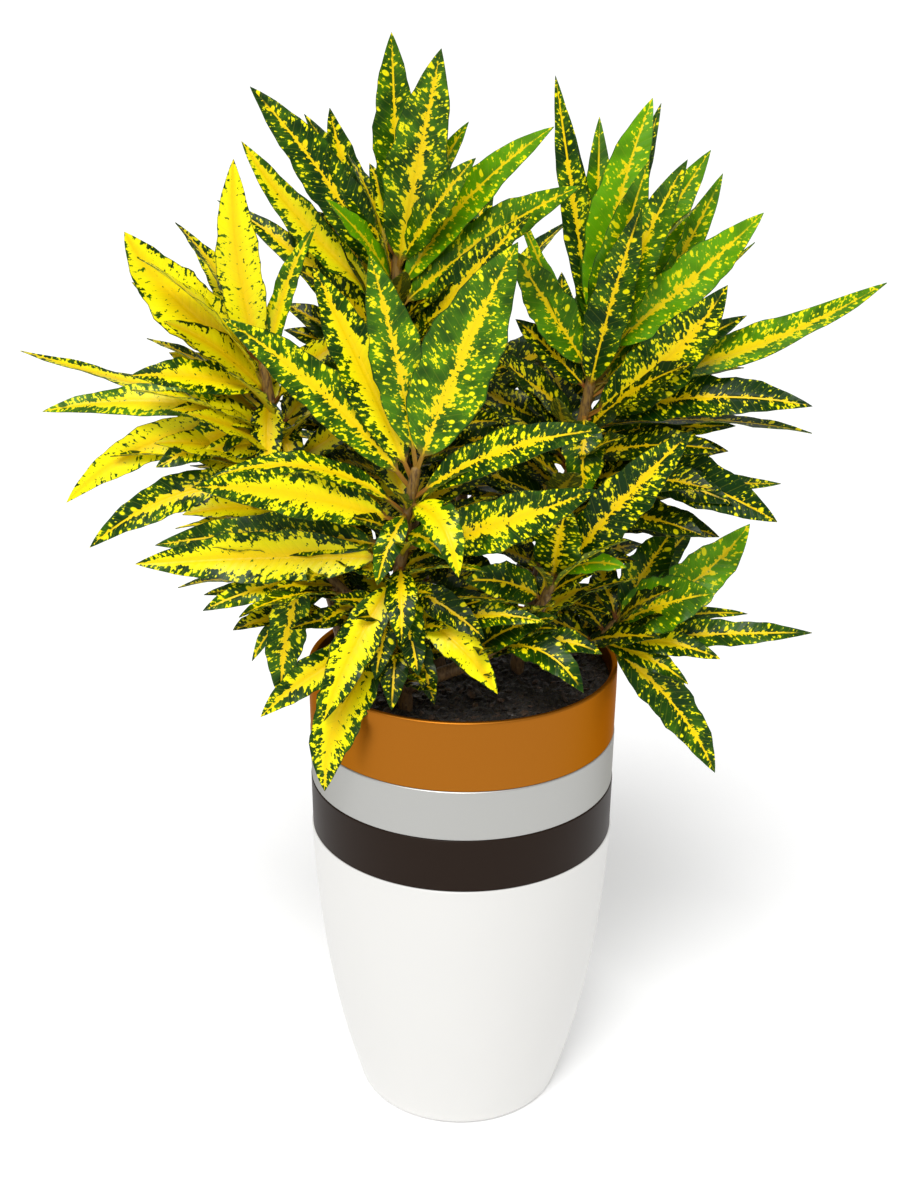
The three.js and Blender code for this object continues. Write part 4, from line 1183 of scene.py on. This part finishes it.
# %% Grow the top stem
top_main = dict(
    path=[(-20, 12, 388), (-38, 25, 480), (-54, 38, 590), (-58, 42, 660), (-52, 45, 722)],
    leaves=[
        (1, -57, 50, 875, 33, 0, 0.5, 0.42, 0.4),
        (0.92, -20, -5, 866, 46, 0, 0.5, 0.55, 0.4),
        (0.885, -165, 70, 835, 37, 0.04, 0.55, 0.38),
        (0.97, -105, 70, 820, 26, -0.08, 0.55, 0.7),
        (0.85, -173, 70, 795, 28, -0.04, 0.55, 0.86, 0.4),
        (0.62, -195, 75, 750, 26, 0.11, 0.5, 0.72),
        (0.955, 0, 15, 815, 22, 0.03, 0.5, 0.5, 0.6),
        (0.93, -125, 75, 815, 22, 0.03, 0.5, 0.4),
        (0.985, -75, 65, 780, 18, 0.03, 0.5, 0.8),
        (0.9, -105, 5, 760, 24, 0.05, 0.4, 0.3, 0.95),
        (0.87, 60, -22, 815, 31, 0.06, 0.6, 0.35, 0.7),
        (0.84, 80, -27, 775, 36, 0.04, 0.6, 0.3, 0.5),
        (0.94, 5, -20, 793, 27, 0.03, 0.6, 0.4, 0.4),
        (0.7, 45, -28, 755, 32, 0.03, 0.55, 0.55),
        (0.3, 62, -22, 508, 38, 0.05, 0.5, 0.35, -0.3),
        (0.25, 32, -25, 464, 38, 0.05, 0.5, 0.3, -0.35),
    ],
    fills=[(3, 0.7, 0.9, 95, 175, 55, 75, 110, 140), (2, 0.4, 0.7, -75, -10, 10, 40, 70, 95),
           (2, 0.45, 0.75, 150, 200, 10, 40, 80, 110)],
    shade=[(34, 0.15, 0.85, 0, 360, 10, 45, 80, 120), (9, 0.45, 0.92, -60, 40, 15, 50, 90, 120),
           (8, 0.35, 0.75, 140, 230, 0, 30, 90, 120)],
)
grow("top", [("behindFront", 1), ("rightOfLeft", 1), ("beforeBack", 1), ("rightOfTop", -1)], 0.5,
     top_main)

# %% [markdown]
# ## The right stem
# The right stem leans out and has the greenest leaves. A low shoot leaves it near the soil and
# spreads just over the lip. It is a second branch of the same stem, because it shares its wood.

# %% Grow the right stem
right_main = dict(
    path=[(45, 16, 388), (62, 16, 470), (86, 18, 560), (96, 20, 615), (100, 22, 645)],
    leaves=[
        (0.91, 37, 45, 750, 14, 0, 0.4, 0.5, 0.7),
        (0.99, 65, 60, 845, 22, 0, 0.6, 0.45),
        (0.935, 75, 65, 820, 20, 0.02, 0.5, 0.3),
        (0.97, 100, 70, 815, 26, 0.02, 0.5, 0.3, 0.5),
        (1, 138, 55, 830, 40, 0.06, 0.6, 0.25, 0.8),
        (0.955, 147, 75, 825, 22, 0.03, 0.5, 0.4),
        (0.94, 180, 30, 795, 35, 0.03, 0.6, 0.3, 0.6),
        (0.92, 156, -20, 793, 34, 0.03, 0.6, 0.35, 0.4),
        (0.895, 130, -5, 790, 34, 0.02, 0.6, 0.3, 0.5),
        (0.85, 125, -20, 760, 32, 0.02, 0.6, 0.3),
        (0.88, 195, 60, 775, 30, -0.04, 0.5, 0.38, 0.6),
        (0.985, 215, -10, 755, 38, -0.02, 0.6, 0.42, 0.75),
        (0.865, 215, 15, 730, 20, 0, 0.2, 0.5, 0.5),
        (0.8, 190, -25, 705, 45, -0.07, 0.7, 0.62),
        (0.905, 310, -10, 705, 38, -0.06, 0.35, 0.62, 0.6),
        (0.93, 35, 32, 720, 36, 0, 0.6, 0.3, 0.5),
        (0.79, 260, -25, 615, 36, 0.07, 0.55, 0.35, 0.1),
        (0.765, 265, -10, 590, 26, 0.05, 0.1, 0.4),
        (0.725, 240, -30, 525, 42, 0.04, 0.7, 0.3, 0.1),
        (0.7, 250, 15, 542, 22, -0.05, 0.5, 0.4),
        (0.74, 210, 10, 590, 24, 0.02, 0.5, 0.2),
        (0.815, 90, -16, 536, 34, 0.2, 0.5, 0.3),
        (0.86, 212, 10, 676, 27, 0, 0.5, 0.4, 0.2),
        (0.88, 38, 30, 668, 26, 0.02, 0.5, 0.3, -0.2),
        (0.7, 206, -25, 538, 34, 0.02, 0.6, 0.3, -0.1),
    ],
    fills=[(5, 0.65, 1, -15, 45, 5, 65, 120, 150), (3, 0.3, 0.65, -50, 40, 20, 35, 80, 110)],
    shade=[(30, 0.15, 0.76, 0, 360, 5, 40, 80, 120), (6, 0.5, 0.72, 120, 230, 15, 50, 90, 115),
           (7, 0.45, 0.68, -40, 15, -4, 12, 110, 138)],
)
right_low_shoot = dict(
    path=[(50, 16, 400), (84, 4, 404), (110, -6, 414), (124, -8, 434)],
    leaves=[
        (0.75, 280, -10, 425, 24, 0.01, 0.5, 0.3),
        (0.92, 195, -28, 465, 46, 0.05, 0.6, 0.2, 0.5),
        (0.85, 235, 30, 425, 14, 0.05, 0.5, 0.25),
        (0.97, 230, 25, 505, 40, -0.09, 0.7, 0.3, 0.7),
        (0.95, 192, 70, 487, 26, 0.03, 0.6, 0.2),
        (1, 171, 35, 498, 34, 0.03, 0.6, 0.2),
        (0.72, 205, -25, 408, 24, 0.08, 0.5, 0.65),
        (0.7, 180, -30, 388, 20, 0.08, 0.5, 0.55),
        (0.74, 207, -28, 308, 33, 0.08, 0.7, 0.35),
    ],
    fills=[],
    shade=[(14, 0.3, 1, -60, 200, 8, 40, 60, 85)],
)
grow("right", [("behindFront", 1), ("beforeBack", 1), ("rightOfTop", 1)], 0.42,
     right_main, right_low_shoot)

# %% [markdown]
# ## The back stem
# The back stem stands behind the others and fills the plant out in depth, so that it looks full from
# every side. No leaf of it gives the front its outline, so all of them follow the rules.

# %% Grow the back stem
back_main = dict(
    path=[(0, 103, 388), (0, 118, 460), (-4, 135, 560), (-2, 150, 650)],
    leaves=[],
    fills=[(8, 0.6, 1, 10, 170, 10, 80, 130, 165), (4, 0.25, 0.6, 0, 180, 5, 10, 110, 140)],
    shade=[(22, 0.2, 0.75, 0, 360, 0, 30, 90, 130)],
)
back_to_left = dict(
    path=[(0, 112, 430), (-45, 125, 500), (-82, 140, 570)],
    leaves=[],
    fills=[(9, 0.45, 1, 85, 205, 0, 65, 120, 155)],
    shade=[(6, 0.4, 0.9, 0, 360, 0, 40, 80, 110)],
)
back_to_right = dict(
    path=[(0, 114, 440), (50, 125, 510), (90, 140, 590)],
    leaves=[],
    fills=[(9, 0.45, 1, -20, 95, 0, 65, 120, 155)],
    shade=[(6, 0.4, 0.9, 0, 360, 0, 40, 80, 110)],
)
grow("back", [("behindFront", 1), ("beforeBack", -1), ("rightOfLeft", 1)], 0.45,
     back_main, back_to_left, back_to_right)

# %% [markdown]
# ## The floor
# The plant stands on a plain pale sheet that runs far past the picture, as in a studio. A curved
# backdrop would do as well, but a flat sheet this large reaches the top of the picture by itself. A
# faint glow of its own keeps it near white.

# %% Floor
floor_mesh = bpy.data.meshes.new("floor")
floor_mesh.from_pydata([(-90, -9, 0), (90, -9, 0), (90, 160, 0), (-90, 160, 0)], [], [(0, 1, 2, 3)])
floor_paint, _, floor_shader = new_finish("pale floor", Roughness=0.9)
floor_shader.inputs["Base Color"].default_value = rgb(250, 250, 250)
floor_shader.inputs["Emission Color"].default_value = (1, 1, 1, 1)
floor_shader.inputs["Emission Strength"].default_value = 0.12
floor_mesh.materials.append(floor_paint)
floor = bpy.data.objects.new("floor", floor_mesh)
bpy.context.scene.collection.objects.link(floor)
print("the floor is", round(floor.dimensions.x), "by", round(floor.dimensions.y), "m")

# %% [markdown]
# ## The light
# Three soft lights stand in for a studio. A white sky lights everything evenly. A broad sun from
# above, wide enough to blur every shadow, gives the planter its form. A large square lamp at the
# front left adds the gloss. Small hard lamps would be simpler, but they leave black shadows and
# harsh glints among the leaves.

# %% Light
def aimed(name, light, place, aim):
    """A light at a place, facing a point, both in metres: its back is the unit vector from the
    point to the place, and its right is level."""
    thing = bpy.data.objects.new(name, light)
    bpy.context.scene.collection.objects.link(thing)
    back = unit(np.array(place, float) - np.array(aim, float))
    right = unit(np.cross([0.0, 0.0, 1.0], back))
    turned = np.stack([right, np.cross(back, right), back], 1)
    thing.matrix_world = Matrix.Translation(place) @ Matrix(turned.tolist()).to_4x4()


lamp = bpy.data.lights.new("lamp_left", "AREA")
lamp.size = 1.2
lamp.energy = 9
aimed("lamp_left", lamp, (-1.5, -1.6, 2.2), (0, 0, 0.5))
sun = bpy.data.lights.new("daylight", "SUN")
sun.energy = 1.9
sun.angle = math.radians(25)
sunshine = bpy.data.objects.new("daylight", sun)
sunshine.rotation_euler = (math.radians(34), 0, math.radians(-12))
bpy.context.scene.collection.objects.link(sunshine)
world = bpy.data.worlds.new("studio")
world.use_nodes = True
world.node_tree.nodes["Background"].inputs["Color"].default_value = (1, 1, 1, 1)
world.node_tree.nodes["Background"].inputs["Strength"].default_value = 0.55
bpy.context.scene.world = world
bpy.context.scene.view_settings.view_transform = "Standard"
print("lights:", ", ".join(light.name for light in bpy.data.lights), "and", world.name)

# %% [markdown]
# ## The camera
# The camera stands a little over a metre in front of the plant, a little above it, and looks down
# on it at 21 degrees, so the leaves near it look larger than those behind. It could be aimed with a
# Track To constraint, but its lean of under half a degree is easier to give as three directions: to
# the right, up and back.

# %% Camera
CAMERA_PLACE = (-0.0109, -1.190, 0.911)
LOOKING_DOWN, LEAN = math.radians(21.3), math.radians(0.43)
FOCAL_WIDTHS = 1590 / 900
level_right = np.array([1.0, 0.0, 0.0])
level_up = np.array([0.0, math.sin(LOOKING_DOWN), math.cos(LOOKING_DOWN)])
back = -np.array([0.0, math.cos(LOOKING_DOWN), -math.sin(LOOKING_DOWN)])
right = level_right * math.cos(LEAN) + level_up * math.sin(LEAN)
up = level_up * math.cos(LEAN) - level_right * math.sin(LEAN)
lens = bpy.data.cameras.new("camera")
lens.sensor_fit = "HORIZONTAL"
lens.sensor_width = 36
lens.lens = FOCAL_WIDTHS * lens.sensor_width
camera = bpy.data.objects.new("camera", lens)
camera.matrix_world = (Matrix.Translation(CAMERA_PLACE)
                       @ Matrix(np.stack([right, up, back], 1).tolist()).to_4x4())
bpy.context.scene.collection.objects.link(camera)
bpy.context.scene.camera = camera
print("the lens is", round(lens.lens, 1), "mm on a sensor", lens.sensor_width, "mm wide")
